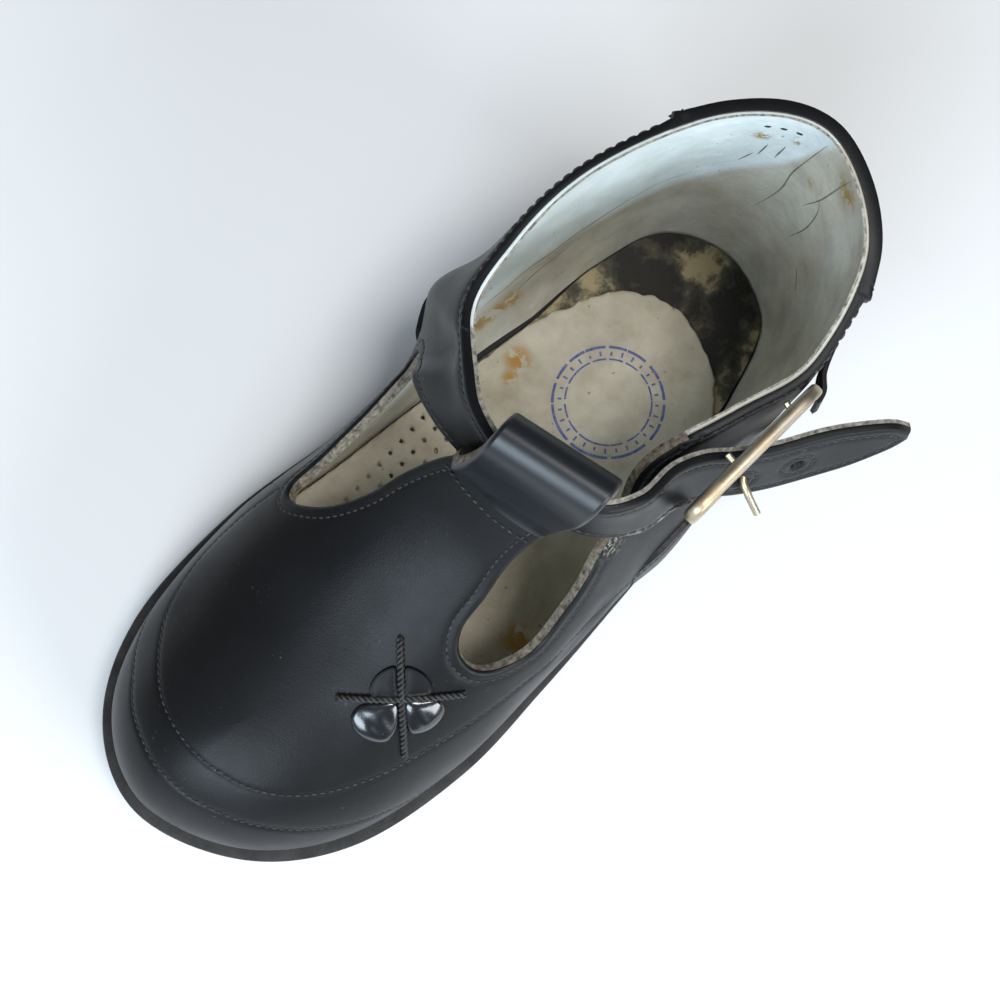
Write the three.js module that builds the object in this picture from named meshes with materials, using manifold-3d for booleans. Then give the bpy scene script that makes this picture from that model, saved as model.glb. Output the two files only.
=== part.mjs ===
import * as THREE from 'three';
import { mergeVertices } from 'three/addons/utils/BufferGeometryUtils.js';
import Module from 'manifold-3d';

const wasm = await Module();
wasm.setup();

// Driving sizes in millimetres: x runs from the heel to the toe, y to the lateral side, z up
const WALL = 2.2;
const GAP = 0.3;
const SOLE_OUTSET = 3.0;
const WELT_OUTSET = 2.7;
const WELT_HEIGHT = 3.2;
const INSOLE_THICK = 2.4;
const INSOLE_INSET = WALL + 0.9;
const SOLE_EDGE_ROUND = 1.2;
const HEEL_SEAT = 14;
const BALL_SEAT = 8;
const TOE_RISE = 5;
const SEAT_SLOPE_FROM = 35;
const SEAT_SLOPE_TO = 105;
const TOE_SPRING_FROM = 118;
const TOE_SPRING_RUN = 45;
const TREAD_SPRING = 8;
const TREAD_SPRING_FROM = 122;
const ARCH_LIFT = 4.5;
const HEEL_BREAST = 44;
const HEEL_BREAST_RUN = 9;
const FOREFOOT_FLAT = 84;
const HEEL_REST_X = 24;
const LEATHER = 2.0;
const OVERLAY = 1.1;

// Mesh fineness
const SIDE_STEPS = 40;
const RIB_STEPS = 12;
const PLATE_STEPS = 40;
const PLATE_ACROSS = 4;

// Sections of the last, toe tip to heel back, one row for each rib.
// The foot is the feather line, the top is the instep ridge or the collar edge.
const COLUMNS = ['footX', 'footY', 'topX', 'topY', 'topZ', 'arch', 'fullness', 'bulge'];
const LATERAL = [
  [162, -10.5, 134, -5.5, 40, 1, 2.3, 0.5],
  [155.5, 9, 131, -5, 41, 1, 2.3, 0.8],
  [140.5, 22, 124, -4, 43, 1, 2.2, 1],
  [118, 28, 109, -2, 47, 1, 2.2, 1.5],
  [96, 28.5, 93, 0, 56, 1, 2.1, 2.2],
  [77, 28, 77, 1.5, 74, 0.8, 1.9, 3.2],
  [60, 27, 62, 14, 69, 0.3, 1.9, 4.5],
  [43, 23.5, 45, 21, 68, 0, 1.6, 4.5],
  [26, 21.5, 31, 24.5, 69.5, 0, 1.6, 3],
  [9.5, 15.5, 13, 18, 75, 0, 1.6, 2],
  [3, 0, 4, 1, 77, 0, 1.6, 2.5],
];
const MEDIAL = [
  [154.5, -26, 131, -5, 41, 1, 2.3, 0.8],
  [137.3, -34.5, 124, -4, 43, 1, 2.2, 1],
  [112, -35.2, 109, -2, 47, 1, 2.4, 1.6],
  [90, -31.4, 93, 0, 56, 1, 2.3, 1.4],
  [73, -28.6, 77, 1.5, 74, 0.8, 2.3, 3.4],
  [58, -25.5, 67, -20.5, 71, 0.3, 2.2, 10.5],
  [43, -22.5, 50, -26, 69, 0, 1.6, 6],
  [26, -21, 31, -24.5, 70, 0, 1.6, 2.5],
  [9.5, -15, 12, -14, 75, 0, 1.6, 2],
];
const RING = [...LATERAL, ...MEDIAL.slice().reverse()];
const RIBS = RING.length;
const HEEL_RIB = RIBS / 2;
const THROAT_RIB = 5;

// Fall of the instep ridge from the throat to the toe
const CROWN_FROM = 93;
const CROWN_LOW = 36.5;
const CROWN_GAIN = 19.5;
const CROWN_RUN = 25;

// Outlines of the two teardrop cut-outs, x y z on the leather, seen along their own aim
const LATERAL_AIM = new THREE.Vector3(0.25, 0.62, 0.74).normalize();
const LATERAL_CUT = [
  [103.6, 14.6, 46.4], [103.4, 18.6, 43.6], [100, 21.6, 42], [93.8, 23.4, 41.9], [85.2, 22.2, 49],
  [79.8, 20.7, 54], [75.2, 19.3, 56.5], [70, 18.8, 57.5], [67.2, 17.2, 60.6],
  [64.7, 15.8, 63.2], [62.5, 15.5, 65.1], [60.2, 15.8, 66.6], [56.9, 16.8, 67.8], [51.5, 18.6, 69.8],
  [54, 8, 82], [66, 3, 88], [75, 4, 84], [79.6, 11.6, 67.5], [83, 10.6, 64.6], [87.3, 10.2, 60.3],
  [94, 10.8, 53.6], [100.5, 11.8, 49.3],
];
const MEDIAL_AIM = new THREE.Vector3(0.25, -0.62, 0.74).normalize();
const MEDIAL_CUT = [
  [103, -26.5, 38.5], [100.6, -21, 45], [94.1, -16.1, 51.2], [87.7, -13.6, 57.4], [83.7, -11.2, 62.9],
  [79.5, -7, 72], [72, -4, 84], [66.5, -12, 84], [66.4, -20, 73.5], [67, -24.5, 62],
  [67, -27.6, 52.5], [64.4, -28.8, 47], [64.6, -29, 42.6], [72.3, -28.3, 43], [85.7, -28.6, 41],
  [95, -29.2, 38.5], [101, -28.8, 36.8],
];
const CUT_REACH = 34;
const CUT_DEPTH = 16;

// End of the T-bar at its seam, and the direction in which it climbs
const SEAM_AT = new THREE.Vector3(82.9, 0, 65.2);
const SEAM_CLIMB = new THREE.Vector3(-0.62, 0, 0.78).normalize();

// Fold of the T-bar round the strap: x, z, middle y, half width; its lateral end lies further back
const LOOP_SKEW = 1.6;
const LOOP_ROWS = [
  [83.1, 66.6, 0.6, 10.2],
  [81.7, 70, 2, 9.4],
  [80.4, 75, 3.4, 9.2],
  [79.6, 80, 4.2, 9.2],
  [78.2, 84, 4.4, 9.2],
  [75.5, 85.6, 4.4, 9.2],
  [73, 83.6, 4.4, 9.2],
  [72.4, 78.5, 4.3, 9.2],
  [72.8, 72, 4, 9.2],
  [74, 65.5, 3.4, 9.2],
  [75.6, 60.5, 2.6, 9.2],
];

// Ankle strap from the medial quarter, through the loop and the buckle, to its tip:
// x y z of the upper edge, then of the lower edge
const STRAP_ROWS = [
  [67.5, -20.2, 71.6, 68.3, -28.8, 53],
  [71.4, -15.6, 72.6, 74, -25, 55.4],
  [75, -9.8, 74, 78.4, -14.4, 58.2],
  [77.2, -3, 75.6, 79.2, -4.4, 59.8],
  [76.4, 5, 76.4, 77.8, 5, 60.4],
  [74.1, 13.2, 76.2, 75.6, 14.4, 60.4],
  [68.2, 17.2, 74.8, 69.4, 20.8, 59.2],
  [60.8, 18, 71.8, 61.8, 22.8, 56.6],
  [55.2, 20.4, 69, 56, 25.8, 54],
  [50.8, 23.9, 66.6, 51.4, 29.4, 51.8],
  [45.7, 27.8, 65.2, 46.2, 33, 50.4],
  [38.2, 32.3, 64.5, 38.9, 37.6, 51.4],
  [33.5, 35.7, 64, 34.2, 40.4, 53],
  [28.3, 40.2, 63, 28.7, 43, 55.4],
  [25.7, 43.2, 60.4, 25.8, 43.8, 57.8],
];
const STRAP_STEPS = 44;
const HOLE_RADIUS = 1.5;

// Buckle frame corners, front upper first, and its bar
const FRAME_CORNERS = [
  [63.8, 24.8, 70], [35.6, 26.4, 69.2], [28.8, 28.4, 49], [59, 27, 49],
];
const FRAME_CORNER_REACH = 3.2;
const BAR_WIDTH = 2.4;
const BAR_THICK = 1.6;
const PRONG_RADIUS = 0.9;
const PRONG_ROWS = [
  [34.8, 27.8, 58.6], [42, 27, 58.2], [47.6, 27.3, 57.8], [50.4, 28.2, 57.4], [51.6, 30.4, 56.8], [52.5, 34.2, 54.6],
];

// Chape from the lateral quarter to the frame's rear bar: x, y and z of its upper and lower edge
const CHAPE_ROWS = [
  [20.5, 25.9, 63.6, 28.7, 52.8],
  [26, 27.9, 63.4, 31, 52.6],
  [30.5, 29.4, 63.2, 32.4, 52.4],
  [34, 30.1, 63, 32.4, 52.4],
  [36.4, 29.8, 63, 31.6, 52.4],
];

// Vamp ornament: middle and arm ends on the leather
const ORNAMENT_MIDDLE = [2.88, 0.745];
const ORNAMENT_BACK = new THREE.Vector3(-7.8, -7.6, 4.4).normalize();
const ORNAMENT_ARM_BACK = 11.5;
const ORNAMENT_ARM_FRONT = 12.5;
const ORNAMENT_ARM_SIDE = 11;
const CORD_HALF = 0.8;
const CORD_HEIGHT = 0.9;
const PETAL_HEIGHT = 0.7;
// along the long arm, across it, half length, half width
const PETALS = {
  ornament_petal_back_left: [4, -3.4, 2.8, 2.2],
  ornament_petal_back_right: [4, 3.4, 2.8, 2.2],
  ornament_petal_front_left: [-5, -4.9, 4, 3.7],
  ornament_petal_front_right: [-5, 4.9, 4, 3.7],
};

function mix(a, b, t) {
  return a + (b - a) * t;
}

function ease(t) {
  const c = Math.min(Math.max(t, 0), 1);
  return c * c * (3 - 2 * c);
}

// Height of the sole's top under the feather line
function seat(x) {
  const slope = ease((x - SEAT_SLOPE_FROM) / (SEAT_SLOPE_TO - SEAT_SLOPE_FROM));
  const spring = Math.max(0, (x - TOE_SPRING_FROM) / TOE_SPRING_RUN) ** 2;
  return mix(HEEL_SEAT, BALL_SEAT, slope) + TOE_RISE * spring;
}

// Height of the tread: flat heel, raised arch, flat forefoot, toe spring
function tread(x) {
  const up = ease((x - HEEL_BREAST) / HEEL_BREAST_RUN);
  const down = 1 - ease((x - HEEL_BREAST - HEEL_BREAST_RUN) / (FOREFOOT_FLAT - HEEL_BREAST - HEEL_BREAST_RUN));
  const spring = Math.max(0, (x - TREAD_SPRING_FROM) / TOE_SPRING_RUN) ** 2;
  return ARCH_LIFT * up * down + TREAD_SPRING * spring;
}

// Height of the instep ridge, which both sides of the vamp meet level
function crown(x) {
  return CROWN_LOW + CROWN_GAIN * Math.exp((CROWN_FROM - x) / CROWN_RUN);
}

// Smooth run through four rows
function through(p0, p1, p2, p3, t) {
  return p1.map((_, k) => 0.5 * (2 * p1[k] + (p2[k] - p0[k]) * t
    + (2 * p0[k] - 5 * p1[k] + 4 * p2[k] - p3[k]) * t * t
    + (3 * p1[k] - p0[k] - 3 * p2[k] + p3[k]) * t ** 3));
}

function ringRow(i) {
  return RING[((i % RIBS) + RIBS) % RIBS];
}

// All columns at a rib position, counted from the toe round the lateral side, the heel and back
function rib(q) {
  const i = Math.floor(q);
  const values = through(ringRow(i - 1), ringRow(i), ringRow(i + 1), ringRow(i + 2), q - i);
  return Object.fromEntries(COLUMNS.map((name, k) => [name, values[k]]));
}

function outward(q) {
  const step = 1e-3;
  const a = rib(q - step);
  const b = rib(q + step);
  const length = Math.hypot(b.footX - a.footX, b.footY - a.footY);
  return [(b.footY - a.footY) / length, -(b.footX - a.footX) / length];
}

// Outer face of the leather: q counts ribs, v climbs from the feather line to the top
function face(q, v) {
  const r = rib(q);
  const round = ((q % RIBS) + RIBS) % RIBS;
  const fromToe = Math.min(round, RIBS - round);
  const other = fromToe <= THROAT_RIB ? rib(-q) : r;
  const top = ['topX', 'topY', 'topZ'].map((name) => (r[name] + other[name]) / 2);
  const arch = Math.min(Math.max(r.arch, 0), 1);
  const angle = (Math.PI / 2) * v;
  const power = 2 / r.fullness;
  const inward = (1 - Math.max(Math.cos(angle), 0) ** power) * arch + v * v * (3 - 2 * v) * (1 - arch);
  const climb = Math.sin(angle) ** power * arch + v * (1 - arch);
  const swell = r.bulge * Math.sin(Math.PI * v ** 0.8);
  const [ox, oy] = outward(q);
  const x = mix(r.footX, top[0], inward) + ox * swell;
  const y = mix(r.footY, top[1], inward) + oy * swell;
  const height = mix(top[2], crown(x), ease(THROAT_RIB - fromToe));
  return new THREE.Vector3(x, y, mix(seat(r.footX), height, climb));
}

function normal(q, v) {
  const step = 4e-3;
  const along = face(q + step, v).sub(face(q - step, v));
  const climb = face(q, Math.min(v + step, 1)).sub(face(q, Math.max(v - step, 0)));
  return along.cross(climb).normalize();
}

function skin(q, v, offset) {
  return face(q, v).addScaledVector(normal(q, v), offset);
}

// Place on a rib that stands at a height above the sole's top
function climbTo(q, height) {
  let low = 0;
  let high = 1;
  const base = face(q, 0).z;
  for (let i = 0; i < 30; i += 1) {
    const middle = (low + high) / 2;
    if (face(q, middle).z - base < height) {
      low = middle;
    } else {
      high = middle;
    }
  }
  return low;
}

// Closed body from points and triangles, turned to face out
function body(points, faces) {
  let volume = 0;
  for (const [a, b, c] of faces) {
    volume += points[a].dot(points[b].clone().cross(points[c]));
  }
  const turned = volume < 0 ? faces.map(([a, b, c]) => [a, c, b]) : faces;
  const geometry = new THREE.BufferGeometry();
  geometry.setAttribute('position', new THREE.Float32BufferAttribute(points.flatMap((p) => p.toArray()), 3));
  geometry.setIndex(turned.flat());
  return geometry;
}

function quad(faces, a, b, c, d) {
  faces.push([a, b, c], [a, c, d]);
}

function solid(geometry) {
  const bare = geometry.clone();
  bare.deleteAttribute('normal');
  bare.deleteAttribute('uv');
  const merged = mergeVertices(bare, 1e-4);
  return new wasm.Manifold(new wasm.Mesh({
    numProp: 3,
    vertProperties: Float32Array.from(merged.attributes.position.array),
    triVerts: Uint32Array.from(merged.index.array),
  }));
}

function fromSolid(manifold) {
  const mesh = manifold.getMesh();
  const geometry = new THREE.BufferGeometry();
  geometry.setAttribute('position', new THREE.Float32BufferAttribute(mesh.vertProperties, 3));
  geometry.setIndex(Array.from(mesh.triVerts));
  return geometry;
}

// Hollow last-shaped shell, ridge closed at the instep, open at the collar and underneath
function shell() {
  const around = 2 * SIDE_STEPS;
  const throat = Math.round((SIDE_STEPS * THROAT_RIB) / HEEL_RIB);
  const points = [];
  const ids = new Map();
  const layers = [0, -WALL];
  const key = (layer, i, j) => {
    const side = ((i % around) + around) % around;
    const paired = j === RIB_STEPS && side > SIDE_STEPS && around - side <= throat;
    return `${layer},${paired ? around - side : side},${j}`;
  };
  layers.forEach((offset, layer) => {
    for (let i = 0; i < around; i += 1) {
      for (let j = 0; j <= RIB_STEPS; j += 1) {
        const name = key(layer, i, j);
        if (!ids.has(name)) {
          const q = (i * HEEL_RIB) / SIDE_STEPS;
          const v = j / RIB_STEPS;
          const lean = normal(q, v);
          if (j === RIB_STEPS && i <= throat) {
            lean.add(normal(-q, v)).normalize();
          }
          ids.set(name, points.length);
          points.push(face(q, v).addScaledVector(lean, offset));
        }
      }
    }
  });
  const at = (layer, i, j) => ids.get(key(layer, i, j));
  const faces = [];
  for (let i = 0; i < around; i += 1) {
    for (let j = 0; j < RIB_STEPS; j += 1) {
      quad(faces, at(0, i, j), at(0, i + 1, j), at(0, i + 1, j + 1), at(0, i, j + 1));
      quad(faces, at(1, i, j), at(1, i, j + 1), at(1, i + 1, j + 1), at(1, i + 1, j));
    }
    quad(faces, at(0, i, 0), at(1, i, 0), at(1, i + 1, 0), at(0, i + 1, 0));
    if (i >= throat && i < around - throat) {
      const j = RIB_STEPS;
      quad(faces, at(0, i, j), at(0, i + 1, j), at(1, i + 1, j), at(1, i, j));
    }
  }
  return body(points, faces);
}

// Prism with a smooth outline, standing along its aim
function cutter(rows, aim) {
  const curve = new THREE.CatmullRomCurve3(rows.map((r) => new THREE.Vector3(...r)), true, 'centripetal');
  const outline = curve.getPoints(rows.length * 3).slice(0, -1);
  const middle = outline.reduce((sum, p) => sum.add(p), new THREE.Vector3()).divideScalar(outline.length);
  const across = new THREE.Vector3(1, 0, 0).addScaledVector(aim, -aim.x).normalize();
  const beside = aim.clone().cross(across);
  const flat = outline.map((p) => {
    const d = p.clone().sub(middle);
    return new THREE.Vector2(d.dot(across), d.dot(beside));
  });
  const caps = THREE.ShapeUtils.triangulateShape(flat, []);
  const level = (height) => flat.map((f) => middle.clone().addScaledVector(across, f.x)
    .addScaledVector(beside, f.y).addScaledVector(aim, height));
  const n = flat.length;
  const points = [...level(CUT_REACH), ...level(-CUT_DEPTH)];
  const faces = [];
  for (const [a, b, c] of caps) {
    faces.push([a, b, c], [n + a, n + c, n + b]);
  }
  for (let i = 0; i < n; i += 1) {
    const k = (i + 1) % n;
    quad(faces, k, i, n + i, n + k);
  }
  return body(points, faces);
}

// Block past the seam, where the T-bar becomes the loop
function seamBlock() {
  const length = 18;
  const block = new THREE.BoxGeometry(length, 26, 18);
  const side = new THREE.Vector3(0, 1, 0);
  const up = SEAM_CLIMB.clone().cross(side);
  const middle = SEAM_AT.clone().addScaledVector(SEAM_CLIMB, length / 2 + 0.6);
  block.applyMatrix4(new THREE.Matrix4().makeBasis(SEAM_CLIMB, side, up).setPosition(middle));
  return block;
}

// Flat plate between the two edges of the last's plan, with its own top and underside
function plate(outset, top, under, round) {
  const points = [];
  const faces = [];
  const edge = (q, inset) => {
    const r = rib(q);
    const [ox, oy] = outward(q);
    return new THREE.Vector2(r.footX + ox * (outset - inset), r.footY + oy * (outset - inset));
  };
  const levels = [
    { inset: 0, height: top },
    { inset: round, height: under },
  ];
  const grids = levels.map(({ inset, height }) => {
    const grid = [];
    for (let i = 0; i <= PLATE_STEPS; i += 1) {
      const q = (i * HEEL_RIB) / PLATE_STEPS;
      const a = edge(q, inset);
      const b = edge(-q, inset);
      const pole = i === 0 || i === PLATE_STEPS;
      const row = [];
      for (let k = 0; k <= PLATE_ACROSS; k += 1) {
        if (pole && k > 0) {
          row.push(row[0]);
        } else {
          const p = a.clone().lerp(b, k / PLATE_ACROSS);
          row.push(points.length);
          points.push(new THREE.Vector3(p.x, p.y, height(p.x)));
        }
      }
      grid.push(row);
    }
    return grid;
  });
  const keep = (a, b, c) => {
    if (a !== b && b !== c && a !== c) {
      faces.push([a, b, c]);
    }
  };
  grids.forEach((grid, layer) => {
    for (let i = 0; i < PLATE_STEPS; i += 1) {
      for (let k = 0; k < PLATE_ACROSS; k += 1) {
        const corners = [grid[i][k], grid[i + 1][k], grid[i + 1][k + 1], grid[i][k + 1]];
        const [a, b, c, d] = layer === 0 ? corners : corners.reverse();
        keep(a, b, c);
        keep(a, c, d);
      }
    }
  });
  const rim = (grid) => {
    const lateral = grid.map((row) => row[0]);
    const medial = grid.map((row) => row[PLATE_ACROSS]).slice(1, -1).reverse();
    return [...lateral, ...medial];
  };
  const loops = [rim(grids[0]), rim(grids[1])];
  if (round > 0) {
    const belt = loops[0].map((_, i) => {
      const low = points[loops[1][i]];
      const high = points[loops[0][i]];
      points.push(new THREE.Vector3(high.x, high.y, Math.min(low.z + round, high.z - round)));
      return points.length - 1;
    });
    loops.splice(1, 0, belt);
  }
  for (let l = 0; l + 1 < loops.length; l += 1) {
    const n = loops[l].length;
    for (let i = 0; i < n; i += 1) {
      const k = (i + 1) % n;
      quad(faces, loops[l][k], loops[l][i], loops[l + 1][i], loops[l + 1][k]);
    }
  }
  return body(points, faces);
}

// Band round the foot of the upper
function weltBand() {
  const around = 2 * SIDE_STEPS;
  const points = [];
  const faces = [];
  for (let i = 0; i < around; i += 1) {
    const q = (i * HEEL_RIB) / SIDE_STEPS;
    const r = rib(q);
    const [ox, oy] = outward(q);
    const z = seat(r.footX) + GAP / 2;
    const upper = skin(q, climbTo(q, WELT_HEIGHT), GAP);
    const inner = new THREE.Vector3(r.footX + ox * GAP * 2, r.footY + oy * GAP * 2, z);
    const reach = Math.max(WELT_OUTSET, (upper.x - r.footX) * ox + (upper.y - r.footY) * oy + 1.4);
    const outer = (out, height) => new THREE.Vector3(r.footX + ox * out, r.footY + oy * out, height);
    const low = outer(reach, 0);
    low.z = seat(low.x) + GAP / 2;
    points.push(inner, upper, outer(reach - 0.7, upper.z), outer(reach, upper.z - 0.7), low);
  }
  const ring = 5;
  for (let i = 0; i < around; i += 1) {
    const k = (i + 1) % around;
    for (let j = 0; j < ring; j += 1) {
      const m = (j + 1) % ring;
      quad(faces, i * ring + j, k * ring + j, k * ring + m, i * ring + m);
    }
  }
  return body(points, faces);
}

// Raised panel on the leather between two ribs and two heights
function panel(from, to, low, high, lift, steps, climbs) {
  const points = [];
  const faces = [];
  const id = (layer, i, j) => (layer * (steps + 1) + i) * (climbs + 1) + j;
  for (const offset of [GAP + lift, GAP]) {
    for (let i = 0; i <= steps; i += 1) {
      const q = mix(from, to, i / steps);
      for (let j = 0; j <= climbs; j += 1) {
        points.push(skin(q, mix(low(q), high(q), j / climbs), offset));
      }
    }
  }
  for (let i = 0; i < steps; i += 1) {
    for (let j = 0; j < climbs; j += 1) {
      quad(faces, id(0, i, j), id(0, i + 1, j), id(0, i + 1, j + 1), id(0, i, j + 1));
      quad(faces, id(1, i, j), id(1, i, j + 1), id(1, i + 1, j + 1), id(1, i + 1, j));
    }
    quad(faces, id(0, i, 0), id(1, i, 0), id(1, i + 1, 0), id(0, i + 1, 0));
    quad(faces, id(0, i, climbs), id(0, i + 1, climbs), id(1, i + 1, climbs), id(1, i, climbs));
  }
  for (let j = 0; j < climbs; j += 1) {
    quad(faces, id(0, 0, j), id(0, 0, j + 1), id(1, 0, j + 1), id(1, 0, j));
    quad(faces, id(0, steps, j), id(1, steps, j), id(1, steps, j + 1), id(0, steps, j + 1));
  }
  return body(points, faces);
}

// Leather band through pairs of edge points
function ribbon(rows, thick, steps) {
  const chamfer = 0.5;
  const at = (t) => {
    const p = Math.min(t * (rows.length - 1), rows.length - 1 - 1e-9);
    const i = Math.floor(p);
    const row = (k) => rows[Math.min(Math.max(k, 0), rows.length - 1)];
    const v = through(row(i - 1), row(i), row(i + 1), row(i + 2), p - i);
    return [new THREE.Vector3(v[0], v[1], v[2]), new THREE.Vector3(v[3], v[4], v[5])];
  };
  const points = [];
  const faces = [];
  const ring = 8;
  const step = 1e-3;
  for (let s = 0; s <= steps; s += 1) {
    const t = s / steps;
    const [a, b] = at(t);
    const [a0, b0] = at(Math.max(t - step, 0));
    const [a1, b1] = at(Math.min(t + step, 1));
    const along = a1.add(b1).sub(a0).sub(b0).normalize();
    const across = a.clone().sub(b);
    const half = across.length() / 2;
    across.normalize();
    const out = along.cross(across).normalize();
    const middle = a.clone().add(b).multiplyScalar(0.5);
    const h = thick / 2;
    const w = half;
    const corners = [
      [w, h - chamfer], [w - chamfer, h], [chamfer - w, h], [-w, h - chamfer],
      [-w, chamfer - h], [chamfer - w, -h], [w - chamfer, -h], [w, chamfer - h],
    ];
    for (const [c, o] of corners) {
      points.push(middle.clone().addScaledVector(across, c).addScaledVector(out, o));
    }
  }
  for (let s = 0; s < steps; s += 1) {
    for (let j = 0; j < ring; j += 1) {
      const m = (j + 1) % ring;
      quad(faces, s * ring + j, (s + 1) * ring + j, (s + 1) * ring + m, s * ring + m);
    }
  }
  for (let j = 1; j + 1 < ring; j += 1) {
    const last = steps * ring;
    faces.push([0, j, j + 1], [last, last + j + 1, last + j]);
  }
  return body(points, faces);
}

// Round wire along a path
function wire(rows, radius, steps, sides) {
  const curve = new THREE.CatmullRomCurve3(rows.map((r) => new THREE.Vector3(...r)), false, 'centripetal');
  const round = new THREE.Shape();
  for (let i = 0; i < sides; i += 1) {
    const angle = (2 * Math.PI * i) / sides;
    const x = radius * Math.cos(angle);
    const y = radius * Math.sin(angle);
    if (i === 0) {
      round.moveTo(x, y);
    } else {
      round.lineTo(x, y);
    }
  }
  return new THREE.ExtrudeGeometry(round, { steps, extrudePath: curve, bevelEnabled: false });
}

// Flat bar bent round the four corners of the buckle
function frameBar() {
  const corners = FRAME_CORNERS.map((c) => new THREE.Vector3(...c));
  const middle = corners.reduce((sum, c) => sum.add(c), new THREE.Vector3()).divideScalar(corners.length);
  const length = corners[0].clone().sub(corners[1]).normalize();
  const height = corners[0].clone().sub(corners[3]);
  const out = length.clone().cross(height).normalize();
  const bend = 4;
  const route = [];
  corners.forEach((c, i) => {
    const before = corners[(i + 3) % 4].clone().sub(c).setLength(FRAME_CORNER_REACH);
    const after = corners[(i + 1) % 4].clone().sub(c).setLength(FRAME_CORNER_REACH);
    for (let k = 0; k <= bend; k += 1) {
      const t = k / bend;
      route.push(c.clone().addScaledVector(before, (1 - t) ** 2).addScaledVector(after, t ** 2));
    }
  });
  const points = [];
  const faces = [];
  const n = route.length;
  route.forEach((p, i) => {
    const along = route[(i + 1) % n].clone().sub(route[(i + n - 1) % n]).normalize();
    const aside = out.clone().cross(along).normalize();
    if (aside.dot(p.clone().sub(middle)) < 0) {
      aside.negate();
    }
    const w = BAR_WIDTH / 2;
    const h = BAR_THICK / 2;
    for (const [c, o] of [[w, 0.4 * h], [0.5 * w, h], [-w, h], [-w, -h], [0.5 * w, -h], [w, -0.4 * h]]) {
      points.push(p.clone().addScaledVector(aside, c).addScaledVector(out, o));
    }
  });
  const ring = 6;
  for (let i = 0; i < n; i += 1) {
    const k = (i + 1) % n;
    for (let j = 0; j < ring; j += 1) {
      const m = (j + 1) % ring;
      quad(faces, i * ring + j, k * ring + j, k * ring + m, i * ring + m);
    }
  }
  return body(points, faces);
}

// Axes of the ornament on the leather
const ornamentAt = face(...ORNAMENT_MIDDLE);
const ornamentUp = normal(...ORNAMENT_MIDDLE);
const ornamentBack = ORNAMENT_BACK.clone().addScaledVector(ornamentUp, -ORNAMENT_BACK.dot(ornamentUp)).normalize();
const ornamentSide = ornamentUp.clone().cross(ornamentBack);

// Point on the leather under a place on the ornament's own plane
function onVamp(back, side, lift) {
  let [q, v] = ORNAMENT_MIDDLE;
  const step = 1e-3;
  const local = (a, b) => {
    const d = face(a, b).sub(ornamentAt);
    return [d.dot(ornamentBack), d.dot(ornamentSide)];
  };
  for (let i = 0; i < 12; i += 1) {
    const [f, g] = local(q, v);
    const [fq, gq] = local(q + step, v);
    const [fv, gv] = local(q, v + step);
    const j = [(fq - f) / step, (fv - f) / step, (gq - g) / step, (gv - g) / step];
    const det = j[0] * j[3] - j[1] * j[2];
    const df = back - f;
    const dg = side - g;
    q += (df * j[3] - dg * j[1]) / det;
    v = Math.min(v + (dg * j[0] - df * j[2]) / det, 0.985);
  }
  return skin(q, v, lift);
}

// Low dome lying on the vamp
function petal([back, side, length, width]) {
  const spokes = 16;
  const rings = 3;
  const points = [onVamp(back, side, GAP + PETAL_HEIGHT), onVamp(back, side, GAP)];
  const faces = [];
  const id = (layer, r, s) => 2 + (layer * rings + r) * spokes + (s % spokes);
  for (let layer = 0; layer < 2; layer += 1) {
    for (let r = 1; r <= rings; r += 1) {
      for (let s = 0; s < spokes; s += 1) {
        const angle = (2 * Math.PI * s) / spokes;
        const reach = r / rings;
        const dome = layer === 0 ? 0.15 + 0.85 * Math.sqrt(1 - reach ** 3) : 0;
        points.push(onVamp(
          back + length * reach * Math.cos(angle),
          side + width * reach * Math.sin(angle),
          GAP + PETAL_HEIGHT * dome,
        ));
      }
    }
  }
  for (let s = 0; s < spokes; s += 1) {
    faces.push([0, id(0, 0, s), id(0, 0, s + 1)], [1, id(1, 0, s + 1), id(1, 0, s)]);
    for (let r = 0; r + 1 < rings; r += 1) {
      quad(faces, id(0, r, s), id(0, r + 1, s), id(0, r + 1, s + 1), id(0, r, s + 1));
      quad(faces, id(1, r, s), id(1, r, s + 1), id(1, r + 1, s + 1), id(1, r + 1, s));
    }
    quad(faces, id(0, rings - 1, s), id(1, rings - 1, s), id(1, rings - 1, s + 1), id(0, rings - 1, s + 1));
  }
  return body(points, faces);
}

// Raised cord from one end to the other, level with the petals
function cord(start, end) {
  const steps = 10;
  const along = new THREE.Vector2(end[0] - start[0], end[1] - start[1]).normalize();
  const points = [];
  const faces = [];
  const section = [[1, 0], [0.6, 0.75], [-0.6, 0.75], [-1, 0]];
  const ring = section.length;
  for (let i = 0; i <= steps; i += 1) {
    const back = mix(start[0], end[0], i / steps);
    const side = mix(start[1], end[1], i / steps);
    for (const [w, h] of section) {
      const lift = GAP + h * CORD_HEIGHT;
      points.push(onVamp(back - along.y * w * CORD_HALF, side + along.x * w * CORD_HALF, lift));
    }
  }
  for (let i = 0; i < steps; i += 1) {
    for (let j = 0; j < ring; j += 1) {
      const m = (j + 1) % ring;
      quad(faces, i * ring + j, (i + 1) * ring + j, (i + 1) * ring + m, i * ring + m);
    }
  }
  for (let j = 1; j + 1 < ring; j += 1) {
    const last = steps * ring;
    faces.push([0, j, j + 1], [last, last + j + 1, last + j]);
  }
  return body(points, faces);
}

// Upper: the shell less the two cut-outs and the loop's place
const upperGeometry = fromSolid(
  solid(shell())
    .subtract(solid(cutter(LATERAL_CUT, LATERAL_AIM)))
    .subtract(solid(cutter(MEDIAL_CUT, MEDIAL_AIM)))
    .subtract(solid(seamBlock())),
);

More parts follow.
